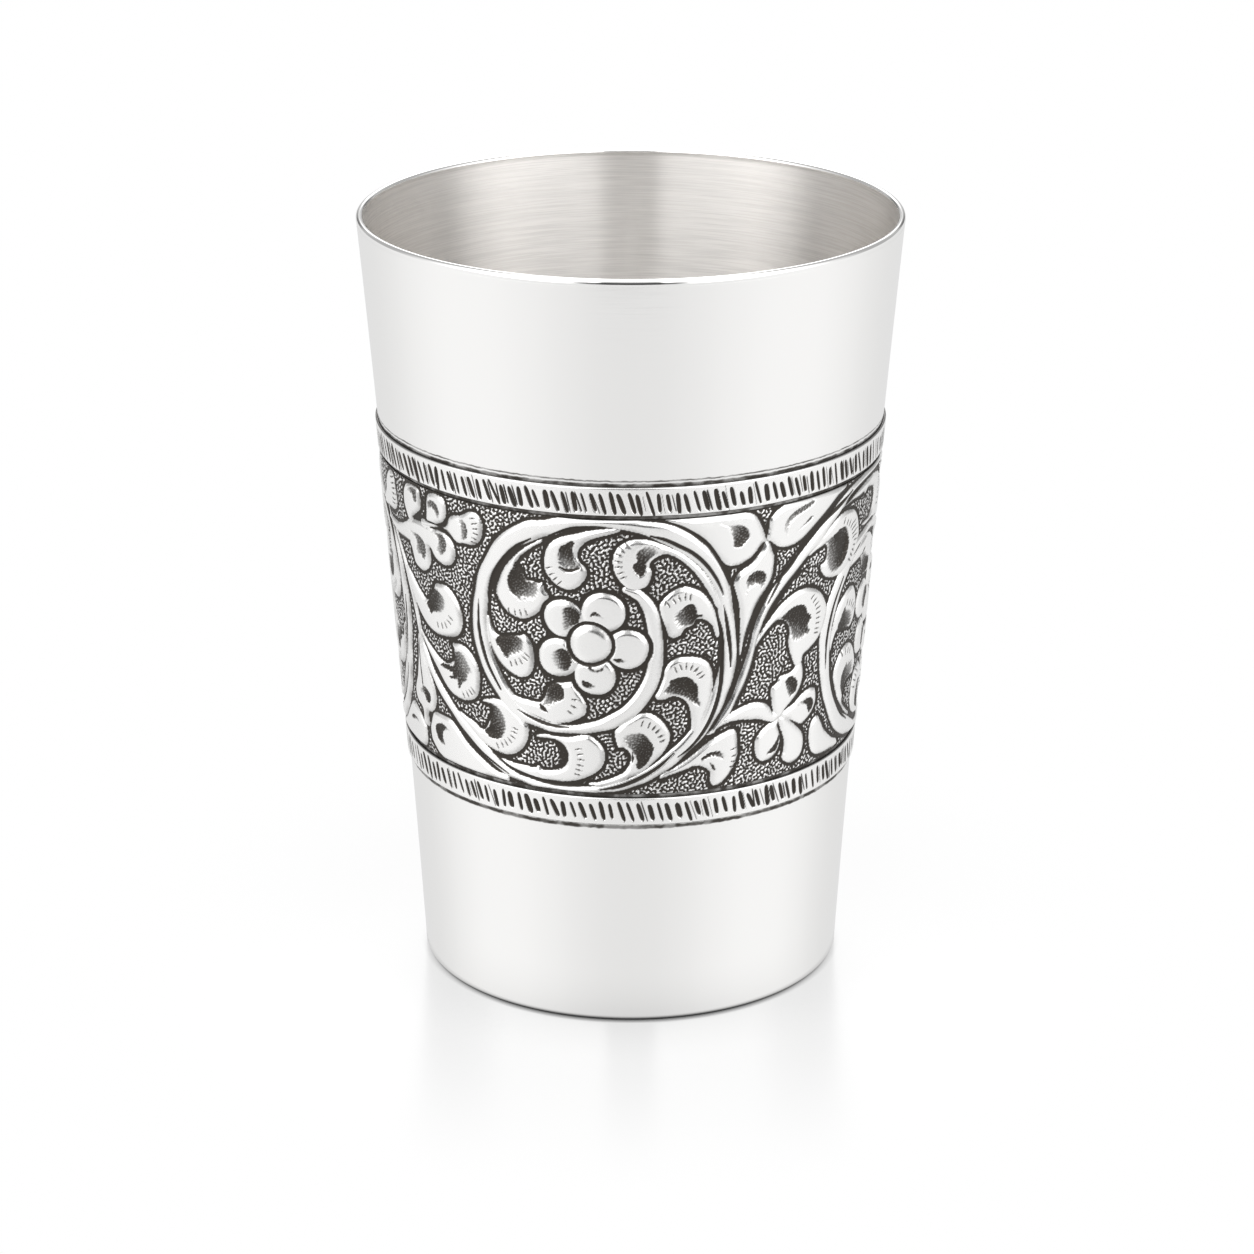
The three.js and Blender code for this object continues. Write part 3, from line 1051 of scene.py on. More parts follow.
# %% Leaves outside the ring
OUTER_LEAVES = [
    dict(
        form=[
            (-20.5, -11.2), (-19, -11.5), (-17.5, -11.9), (-16, -12.5), (-15, -11.3), (-14.2, -9.4),
            (-15, -8.6), (-15.9, -8.4), (-14.8, -7.9), (-13.5, -7.6), (-12.3, -7.7), (-11.5, -8.1),
            (-10.5, -8.9), (-9.5, -9.8), (-8.8, -10.6), (-8.7, -11.2), (-8.9, -12.3), (-9.4, -13.5),
            (-10.3, -14.5), (-11.3, -15.1), (-12.7, -15.4), (-14.5, -15.1), (-16.3, -14.4),
            (-17.8, -13.4), (-19.2, -12.3),
        ],
        eye=[
            (-15, -8.6), (-14, -8.3), (-13, -8.65), (-12.15, -9.75), (-11.9, -11), (-12.25, -12.2),
            (-13.1, -13.2), (-14.2, -13.4), (-15.2, -13.1), (-15.7, -12.7), (-14.9, -11.8),
            (-14.8, -10.6), (-14.5, -9.5),
        ],
        dark=200,
        ticks=[(-13.6, -14.2), (-12.3, -13.6), (-11.2, -12.6), (-10.7, -11.2)],
    ),
    dict(
        form=[
            (-14.5, -16.1), (-13, -16.1), (-11.5, -16.3), (-9.5, -16.4), (-8, -16.4), (-7.5, -16),
            (-7, -16.5), (-5.8, -16.5), (-4.5, -16.1), (-3.6, -15.4), (-3.3, -14.2), (-3.6, -13),
            (-4.3, -12.3), (-5.5, -11.9), (-7.3, -12), (-7.7, -11.7), (-6.5, -11.4), (-5, -11.45),
            (-3, -11.35), (-1.5, -11.0), (-0.4, -10.9), (0.5, -11.4), (1.3, -12.2), (1.75, -13.1),
            (1.8, -14.1), (1.5, -15.1), (0.7, -16.1), (-0.5, -16.9), (-2, -17.5), (-4, -17.9),
            (-6.5, -18), (-9, -17.8), (-11.5, -17.3), (-13.2, -16.7),
        ],
        eye=[
            (-5, -12), (-4, -12.5), (-3.25, -13.6), (-3.25, -14.8), (-3.8, -15.8), (-4.8, -16.4),
            (-6.7, -16.6), (-5.4, -16.1), (-4.7, -15.4), (-4.4, -14.6), (-4.5, -13.7), (-4.9, -12.9),
            (-5.6, -12.3),
        ],
        dark=0,
        ticks=[(-1.7, -12.9), (-1.4, -14.4), (-1.9, -16.6)],
    ),
    dict(
        form=[
            (-0.5, -18.0), (0.8, -17.6), (2.7, -16.9), (4, -16.2), (4.9, -15.1), (5.2, -13.6),
            (4.4, -12.6), (3.6, -12.5), (3.15, -11.2), (3.1, -10.2), (3.6, -9.6), (4.3, -8.9),
            (5.3, -8.3), (6.3, -7.75), (7.3, -7.6), (8.3, -7.9), (9.2, -8.6), (9.9, -9.6),
            (10.4, -10.9), (10.2, -12.1), (9.6, -13.2), (8.5, -14.5), (6.8, -15.9), (4.8, -17),
            (2.8, -17.8), (0.8, -18.3),
        ],
        eye=[
            (4.0, -11.4), (4.2, -10.7), (5, -10.25), (6.25, -10.2), (7, -10.5), (7.7, -11.4),
            (8.2, -12.6), (7.9, -13.7), (7.4, -14.6), (6.4, -15.5), (5.95, -15.3), (5.9, -14),
            (5.4, -13.1), (4.5, -12.2),
        ],
        dark=-30,
        ticks=[(6.7, -8.9), (8, -9.4), (8.9, -10.3), (9.4, -11.5)],
    ),
    dict(
        form=[
            (11.2, -14.1), (11.8, -13.4), (12.7, -11.8), (13.2, -10), (13.1, -8.5), (12.9, -7.2),
            (12.4, -6.2), (11.6, -5.6), (10.6, -5.4), (9.6, -5.8), (8.7, -5.8), (8.3, -5.3),
            (8.6, -4.7), (9.05, -3.7), (9.4, -2.7), (9.6, -1.6), (10.1, -0.7), (11, -0.1), (12.2, 0.1),
            (13.5, 0), (14.5, -0.4), (15.4, -1.3), (15.9, -2.7), (16.0, -4.5), (15.85, -6.3),
            (15.35, -8.2), (14.5, -10.3), (13.4, -12.2), (12, -14),
        ],
        eye=[
            (9.4, -4.9), (9.5, -4.25), (10.1, -3.6), (10.2, -3.1), (11, -2.75), (12.2, -2.6),
            (13.2, -3.2), (13.9, -4.25), (14, -5.8), (14.4, -7.0), (13.7, -6.8), (13, -6.4),
            (12.5, -5.8), (11.5, -5.4), (10.5, -5.2),
        ],
        dark=60,
        ticks=[(10.9, -1.5), (12, -1.1), (13.4, -1.5), (14.4, -2.8)],
    ),
    dict(
        form=[
            (8.8, 7.4), (9.25, 8.3), (10, 9.1), (11, 9.7), (12.2, 9.9), (13.3, 9.5), (14.3, 8.8),
            (15.25, 7.5), (16, 6.1), (16.6, 4.5), (16.9, 2.8), (16.3, 2.4), (15.6, 4.1), (14.6, 5.0),
            (13.6, 5.2), (13.0, 4.4), (12.1, 4.1), (11.4, 3.1), (10.5, 2.8), (9.9, 3.2), (9.5, 4.3),
            (9.1, 5.7),
        ],
        eye=[
            (10.4, 5.5), (10.6, 6.25), (11.5, 6.9), (12.1, 7.4), (12.9, 7.5), (13.4, 6.9), (13.6, 6.0),
            (14.3, 5.8), (13.6, 5.4), (13.2, 4.6), (12.2, 4.3), (11.2, 4.15), (10.85, 4.6),
        ],
        dark=30,
        ticks=[(9.8, 7.7), (10.8, 8.3), (11.8, 8.6), (12.6, 8.5)],
    ),
]
print("leaves outside the ring:", len(OUTER_LEAVES))

# %% Leaves inside the ring
INNER_LEAVES = [
    dict(
        form=[
            (3, 13.2), (3.1, 14.5), (3.6, 15.5), (4.5, 16.25), (5.75, 16.7), (7.2, 16.6), (8.6, 16.15),
            (9.8, 15.6), (11.4, 14.6), (12.9, 13.3), (14.2, 11.9), (15.2, 10.4), (16.2, 8.7),
            (16.9, 7.0), (16.3, 6.5), (15.4, 8.1), (14.3, 10), (13, 11.9), (11.75, 13.2), (10.5, 14.1),
            (9.5, 14.5), (8.8, 14.4), (7.8, 13.8), (7.45, 13), (7.75, 12.2), (7.6, 11), (7, 10.1),
            (5.8, 9.75), (4.75, 10), (3.9, 10.75), (3.25, 11.9),
        ],
        eye=[
            (5.5, 13.3), (5.9, 13.7), (5.8, 14.7), (6.25, 15.5), (7.2, 15.9), (8.1, 15.75), (8.65, 15),
            (8.4, 14.4), (7.7, 14.0), (7.1, 13.4), (7, 12.7), (6.9, 12.1), (6.45, 11.6), (5.9, 12),
            (5.45, 12.7),
        ],
        dark=230,
        ticks=[(4.8, 15.9), (4.0, 15.1), (3.75, 14), (3.75, 12.8), (4.3, 11.5)],
    ),
    dict(
        form=[
            (4, 18.05), (2.5, 18.05), (1, 17.85), (-0.5, 17.55), (-2, 17.1), (-3.5, 16.5),
            (-4.5, 15.9), (-5.05, 15.3), (-5.45, 14.4), (-5.65, 13.4), (-5.7, 12.5), (-5.5, 11.6),
            (-5.05, 10.8), (-4.4, 10.05), (-3.6, 9.55), (-2.7, 9.35), (-1.8, 9.6), (-1, 10.3),
            (-0.4, 11.1), (-0.15, 11.9), (-0.4, 12.7), (-1.0, 13.3), (-1.35, 14), (-1.3, 14.7),
            (-0.95, 15.4), (-0.4, 16.0), (0.4, 16.5), (1.4, 16.9), (2.75, 17.3),
        ],
        eye=[
            (-1.75, 16.2), (-2.8, 15.75), (-3.5, 15.3), (-3.8, 14.5), (-3.9, 13.7), (-3.7, 12.9),
            (-3.1, 12.3), (-2.4, 12.05), (-1.5, 12.3), (-0.95, 12.8), (-1.55, 13.3), (-1.75, 14.2),
            (-1.95, 15.1),
        ],
        dark=62,
        ticks=[(-5.0, 12.3), (-4.6, 11.3), (-3.7, 10.3)],
    ),
    dict(
        form=[
            (-5.8, 15.9), (-7.0, 15.35), (-8.2, 14.55), (-9.3, 13.6), (-10.3, 12.5), (-11.2, 11.3),
            (-11.9, 10.1), (-12.45, 8.9), (-12.65, 8), (-12.5, 7.2), (-12.1, 6.4), (-11.5, 5.55),
            (-10.7, 4.95), (-9.7, 4.6), (-8.7, 4.6), (-7.7, 5.0), (-6.7, 5.75), (-6.1, 6.6),
            (-5.6, 7.5), (-5.2, 8.3), (-5.65, 9), (-5.95, 10), (-6.6, 9.9), (-7.3, 10.1), (-8.2, 10.2),
            (-8.7, 11.3), (-9.3, 12.3), (-8.8, 13.3), (-8, 14.05), (-7, 14.9),
        ],
        eye=[
            (-9.4, 12.4), (-9.9, 11.5), (-10.4, 10.75), (-10.7, 9.9), (-10.6, 9), (-10.3, 8.2),
            (-9.6, 7.5), (-9.0, 6.95), (-8.7, 7.6), (-8.3, 6.95), (-7.9, 7.4), (-7.3, 7.35),
            (-6.7, 7.9), (-6.3, 9), (-6.6, 9.9), (-7.3, 10.1), (-8.2, 10.2), (-8.7, 11.3),
        ],
        dark=140,
        ticks=[(-10.8, 5.5), (-10.0, 5.4), (-9.2, 5.45), (-8.3, 5.7)],
    ),
    dict(
        form=[
            (-14.1, 4.1), (-13.7, 3), (-13.1, 1.9), (-12.4, 1.6), (-10.8, 1.9), (-9.5, 2.1),
            (-8.9, 2.35), (-8.4, 2.1), (-7.9, 1.5), (-7.6, 0.6), (-7.45, -0.8), (-7.6, -1.9),
            (-7.9, -2.7), (-8.5, -3.4), (-9.6, -3.75), (-10.7, -3.55), (-11.7, -3.05), (-12.7, -2.2),
            (-13.4, -1.2), (-13.9, 0), (-14.2, 1.2), (-14.3, 2.8),
        ],
        eye=[
            (-13, 0.8), (-12.4, 1.6), (-10.8, 1.9), (-9.5, 2.0), (-8.9, 1.7), (-8.7, 0.7),
            (-9.0, -0.2), (-9.9, -0.7), (-10.8, -0.9), (-11.4, -1.5), (-11.9, -0.8), (-12.6, 0.2),
        ],
        dark=150,
        ticks=[(-10.8, -1.9), (-9.9, -1.6), (-9.1, -1.2), (-8.4, -0.4)],
    ),
    dict(
        form=[
            (-11.2, -6.6), (-9.5, -6.75), (-8, -6.9), (-6.9, -6.9), (-6.2, -6.0), (-5.6, -4.5),
            (-4.6, -3.8), (-3.6, -3.7), (-2.9, -3.55), (-2.1, -3.7), (-1.7, -4.7), (-1, -5.7),
            (-0.6, -6.5), (-0.6, -7.4), (-0.8, -8.0), (-1.6, -8.6), (-2.5, -9.1), (-3.5, -9.45),
            (-5, -9.7), (-6.5, -9.45), (-8.2, -8.95), (-9.7, -8.3), (-10.7, -7.5),
        ],
        eye=[
            (-6, -5.5), (-5.5, -4.4), (-4.5, -3.9), (-3.75, -4.25), (-3.45, -5.2), (-3.75, -6.1),
            (-4.7, -6.75), (-5.8, -7.7), (-6.7, -7.4), (-6.5, -6.4),
        ],
        dark=60,
        ticks=[(-2.0, -5.9), (-2.1, -6.8), (-2.7, -7.8)],
    ),
]
EXTRA_CUTS = [
    [(-15.7, -12.7, 0.12), (-14.8, -12.3, 0.4), (-14.3, -11.9, 0.2)],
    [(-3.6, 12.5, 0.1), (-2.5, 12.1, 0.2), (-1.2, 12.5, 0.12)],
    [(5.4, -13.2, 0.06), (5.45, -14, 0.14), (5.4, -14.6, 0.05)],
    [(-6.9, -7.2, 0.12), (-6.4, -7.7, 0.26), (-5.8, -8.1, 0.06)],
]
print("leaves inside the ring:", len(INNER_LEAVES))

# %% [markdown]
# ## The chased band: the rosette
# Five round petals lie round a boss, which is raised last so that its groove cuts across them.

# %% Rosette
ROSETTE = (0.07, 2.0)
BOSS_RADIUS = 2.7
# middle and radius of each petal
PETALS = [
    (1.75, 6.45, 2.8), (-3.35, 5.35, 2.6), (-4.2, -0.25, 2.7), (0.6, -2.45, 2.7), (4.75, 1.4, 2.75),
]
# outline, bearing of the dark side, and how much of the dark is left on the light side; the dark is oxide
# in a hollow, graded by painted shade
PETAL_EYES = [
    ([
        (-3.3, 6.9), (-2.2, 7.0), (-1.2, 6.1), (-1.4, 5.0), (-2.4, 4.2), (-2.9, 3.5), (-3.5, 3.9),
        (-3.5, 5.3),
    ], 20, 0.38),
    ([
        (-5.2, 0.1), (-4.3, 1.1), (-3.1, 1.0), (-2.4, -0.3), (-2.9, -1.7), (-3.9, -2.0), (-4.9, -1.2),
    ], 15, 0.15),
    ([(0.1, 6.0), (0.6, 6.6), (1.2, 6.4), (2.2, 5.5), (1.4, 5.9), (0.7, 6.1)], 150, 0.35),
    ([(3.0, 0.0), (3.8, 0.2), (4.9, -0.2), (4.2, -0.4), (3.4, -0.3)], 150, 0.4),
    ([(-1.1, -3.2), (-0.2, -3.3), (0.9, -3.8), (0.2, -4.2), (-0.8, -4.0)], 150, 0.45),
    ([(-0.3, -1.2), (0.8, -1.5), (1.8, -1.2), (0.8, -1.9)], 90, 0.6),
]
print("petals:", len(PETALS))

# %% [markdown]
# ## The chased band: leaves and palmettes between the scrolls
# Where two scrolls turn away from each other, the corners are filled: leaves at the top and at the
# foot, a palmette with five lobes, and a bud between two broad leaves. An eye is an outline and the
# bearing of its dark side, where its painted shade is deepest. Where it differs from a leaf's eye, up
# to three more numbers follow: how dark it is, how deep, and how much of the dark is left on its
# light side.

# %% Motifs to the right of a scroll
RIGHT_MOTIFS = [
    dict(
        forms=[
            [
                (9.3, 19.2), (10.7, 18.55), (12.5, 17.6), (14, 16.2), (15, 15.2), (15.6, 14.3),
                (16.4, 13.2), (17.3, 12.3), (18.3, 12.05), (19.5, 12.3), (20.75, 13.0), (21.5, 13.8),
                (22.2, 14.6), (22.8, 14.7), (22.6, 15.3), (22.4, 15.8), (22, 16.8), (21.5, 17.8),
                (20.9, 18.6), (20, 19.1), (17.5, 19.3), (15, 19.3), (12, 19.3),
            ],
            [
                (22.8, 14.9), (23.0, 16.4), (23.15, 17.7), (23.8, 18.5), (24.8, 19.1), (26, 19.3),
                (30, 19.3), (35, 19.3), (36.8, 19.2), (34.8, 18), (33, 16.8), (31.2, 15.6),
                (29.7, 14.6), (28.5, 13.85), (27.2, 13.4), (26, 13.3), (25, 13.45), (24.1, 13.9),
                (23.4, 14.5),
            ],
            [
                (22.6, 14.7), (22.2, 13.7), (21.5, 12.8), (20.7, 12.0), (19.7, 11.5), (18.9, 10.9),
                (18.5, 10.2), (18.4, 9.4), (18.75, 8.2), (19.1, 7), (19.35, 5.5), (19.5, 3),
                (19.55, 0.6), (19.7, -0.6), (20.0, 0.6), (20.35, 2.2), (20.75, 3.7), (21.25, 5),
                (22, 6.5), (22.75, 7.7), (23.4, 8.5), (23.9, 9.5), (24.1, 10.8), (24.1, 12.2),
                (23.7, 13.3), (23.2, 14.5),
            ],
        ],
        eyes=[
            ([
                (16.1, 18.45), (17.25, 18.1), (18.75, 17.75), (19.75, 17), (20.1, 16), (19.75, 15.4),
                (19.25, 14.9), (18.75, 14.6), (18, 14.9), (17.9, 15.75), (17.4, 17.0), (16.75, 17.8),
            ], -25, 0.76, 0.22, 0.2),
            ([
                (30, 18.75), (29, 18.75), (27.5, 18.4), (26.25, 17.9), (25.5, 17.25), (25.1, 16.4),
                (25.2, 15.3), (25.6, 14.95), (25.9, 15.8), (26.2, 16.6), (26.8, 17.15), (28, 17.7),
                (29.3, 18.15),
            ], 80, 0.6),
            ([(27.1, 15.4), (28.4, 16.05), (29.8, 16.8), (29, 15.95), (27.8, 15.3)], 30, 0.6),
            ([
                (19.8, 7.6), (19.9, 9), (20.1, 10), (20.6, 10.6), (21.4, 10.95), (22.25, 10.75),
                (22.8, 10), (22.8, 9.25), (22.3, 8.3), (21.9, 8.2), (22, 8.8), (21.4, 9), (20.7, 8.6),
                (20.2, 8),
            ], 75, 0.8, 0.22, 0.1),
        ],
        lines=[
            [
                (9.25, 19.1, 0.1), (11.75, 17.85, 0.22), (14.25, 15.95, 0.24), (15.9, 13.7, 0.24),
                (17.2, 11.2, 0.24), (17.8, 9.6, 0.15),
            ],
            [
                (18, 9.3, 0.1), (18.6, 6.4, 0.18), (19.15, 2.6, 0.2), (19.4, -0.5, 0.18),
                (19.4, -3.6, 0.12), (19.25, -4.5, 0.05),
            ],
            [
                (24.2, 9.6, 0.14), (23, 7.4, 0.24), (21.3, 3.9, 0.22), (20.3, 1, 0.18),
                (19.8, -1.5, 0.12), (19.5, -4.2, 0.05),
            ],
            [(25.6, 9.4, 0.05), (24.6, 8, 0.12), (23.3, 5.9, 0.06)],
            [
                (37, 19, 0.1), (34.6, 17.4, 0.2), (31.6, 15.3, 0.22), (28.6, 13.2, 0.22),
                (26, 10.8, 0.18), (24.4, 9.2, 0.1),
            ],
        ],
    ),
    dict(
        forms=[
            [
                (32.6, -14.8), (33.0, -13.3), (34.1, -12.7), (35.2, -13.8), (36.5, -15.5),
                (38.5, -17.2), (40.5, -18.6), (38, -18.9), (35, -18.6), (33.6, -17.8), (32.8, -16.3),
            ],
        ],
        eyes=[],
    ),
    dict(
        forms=[
            [
                (23.3, 5.4), (24.6, 6.4), (25.9, 7.9), (27.6, 9.6), (29.1, 10.8), (30.7, 11.7),
                (32.2, 12.3), (33.4, 11.4), (33.2, 9.6), (32.3, 9.0), (33.2, 7.5), (34.6, 6.8),
                (36.6, 6.6), (38.6, 7.2), (40.2, 8.6), (41, 10.5), (40.8, 12.6), (39.6, 14.2),
                (37.6, 14.9), (35, 14.6), (32.6, 13.6), (30, 12.1), (27.7, 10.4), (25.6, 8.3),
                (24.2, 6.7),
            ],
        ],
        eyes=[
            ([
                (33, 12.4), (34.5, 12.9), (36.3, 12.8), (37.8, 12), (38.3, 10.6), (37.8, 9),
                (36.6, 7.9), (34.9, 7.4), (33.8, 8.1), (33.3, 9.6), (33.4, 11.2),
            ], 20),
        ],
        ticks=[(39.4, 13.4), (40.1, 11.6), (39.9, 9.6), (38.8, 8.1)],
    ),
    dict(
        forms=[
            [
                (21.4, 0.0), (22.4, 1.7), (23.8, 3.5), (25.4, 5.2), (27, 6.2), (28.8, 6.7),
                (30.6, 6.5), (32.4, 5.6), (33.7, 4.2), (34.4, 2.8), (34.3, 1.2), (33.6, -0.4),
                (32.6, -1.6), (31.2, -2.5), (30.2, -2.95), (30.1, -3.8), (29, -4.2), (28.3, -3.2),
                (27.6, -1.8), (27.2, -0.3), (27.3, 1.2), (26.7, 2.6), (25.4, 3.2), (24.2, 2.6),
                (22.9, 1.3), (21.9, 0.0),
            ],
        ],
        eyes=[
            ([
                (25.6, 3.4), (26.1, 3.9), (27, 4.4), (28.5, 4.7), (29.75, 4.1), (30.1, 3.25),
                (30.9, 2.4), (30.4, 1.3), (30.9, 0.5), (30.2, -0.1), (29, -0.5), (27.75, -0.3),
                (27.4, 1.2), (26.8, 2.5),
            ], 60),
        ],
        ticks=[(31.0, 5.2), (32.1, 3.6), (32.4, 1.6), (32.2, -0.2)],
    ),
    dict(
        forms=[
            [
                (26.0, -10.8), (25.3, -9.5), (25, -8.2), (24.75, -7), (24.9, -6.2), (25.75, -5.7),
                (26.2, -5), (27, -4.9), (28, -4.8), (28.6, -4.4), (29.4, -3.4), (30, -3.8), (30.4, -5),
                (30.45, -6.2), (30.1, -7.5), (29.5, -8.4), (28.5, -9.2), (27.4, -10.0), (26.8, -10.8),
            ],
            [
                (26.8, -10.4), (27.6, -10.0), (29, -9.5), (30, -8.8), (31, -8.3), (32.25, -8.1),
                (33.2, -8.5), (33.55, -9.5), (33.5, -10.7), (33, -11.7), (32, -12.5), (30.8, -12.9),
                (29.7, -12.4), (28.4, -11.7), (27, -11.2),
            ],
            [
                (26.4, -11.0), (26.8, -12.5), (27.3, -13.5), (27.65, -14.7), (27.65, -16),
                (27.4, -16.9), (28.25, -17.8), (29.25, -18.2), (30.25, -18.1), (31.1, -17.5),
                (31.5, -16.5), (31.5, -15.2), (31, -14.1), (30, -13.1), (28.9, -12.1), (27.4, -10.9),
            ],
            [
                (26.4, -10.8), (25.5, -11.3), (24.5, -11.5), (23.4, -12.3), (22.75, -13.2),
                (22.65, -14.4), (23, -15.7), (23.75, -16.5), (24.8, -16.7), (25.8, -16.4),
                (26.5, -15.7), (26.85, -14.5), (26.7, -13.2), (26.3, -12),
            ],
            [
                (26.6, -10.3), (25.3, -9.8), (24.8, -9), (24, -8.3), (23, -7.95), (21.75, -7.8),
                (20.25, -8.05), (18.75, -8.7), (17.5, -9.6), (16.5, -10.4), (15.5, -11.4),
                (17.2, -10.5), (18.5, -10), (20, -9.9), (21.5, -10.15), (23, -10.4), (24.5, -11),
                (25.8, -11.3),
            ],
        ],
        eyes=[
            ([
                (26.9, -5.9), (27.25, -5.45), (28, -5.3), (28.75, -5.75), (29.25, -6.75), (29, -7.75),
                (28.25, -8.4), (27.75, -8.2), (27.25, -7.2),
            ], 35),
            ([
                (29.25, -9.9), (30.5, -9.45), (31.75, -9.3), (32.4, -9.6), (32.8, -10.4),
                (32.5, -11.1), (32, -11.5), (31.6, -11), (31.3, -10.3), (30.5, -10),
            ], 0),
            ([
                (26.6, -13.4), (26.65, -14.5), (26.1, -15.4), (25.25, -15.7), (24.4, -15.6), (25, -15),
                (25.75, -14.4), (26.2, -13.8),
            ], -30),
        ],
    ),
    dict(
        forms=[
            [
                (9, -16.9), (11, -15.7), (13, -14.35), (15, -12.9), (16.5, -11.9), (18, -11.2),
                (19, -11.0), (19.6, -11.4), (19.85, -12.3), (20, -13.6), (20, -15), (19.6, -16.2),
                (19, -17.3), (18.25, -18.1), (17.4, -18.7), (16.4, -18.7), (16, -17.7), (16, -16.9),
                (15.4, -16.2), (14.2, -15.6), (12.6, -16), (11, -16.5),
            ],
        ],
        eyes=[
            ([
                (14.6, -14.8), (15.25, -14.1), (16.25, -13.75), (17.25, -13.8), (18, -14.6),
                (17.6, -15.2), (16.9, -14.7), (16.2, -14.4), (15.4, -14.6),
            ], 120),
            ([(15.3, -14.9), (16.1, -15.3), (16.7, -16.5), (16.0, -15.8)], -45),
        ],
        ticks=[(19.3, -13.8), (19.5, -15.1), (19.2, -16.4)],
    ),
]
print("motifs to the right:", len(RIGHT_MOTIFS))

# %% Motifs to the left of a scroll
LOBE_EYE = (0.64, 0.2, 0.12)

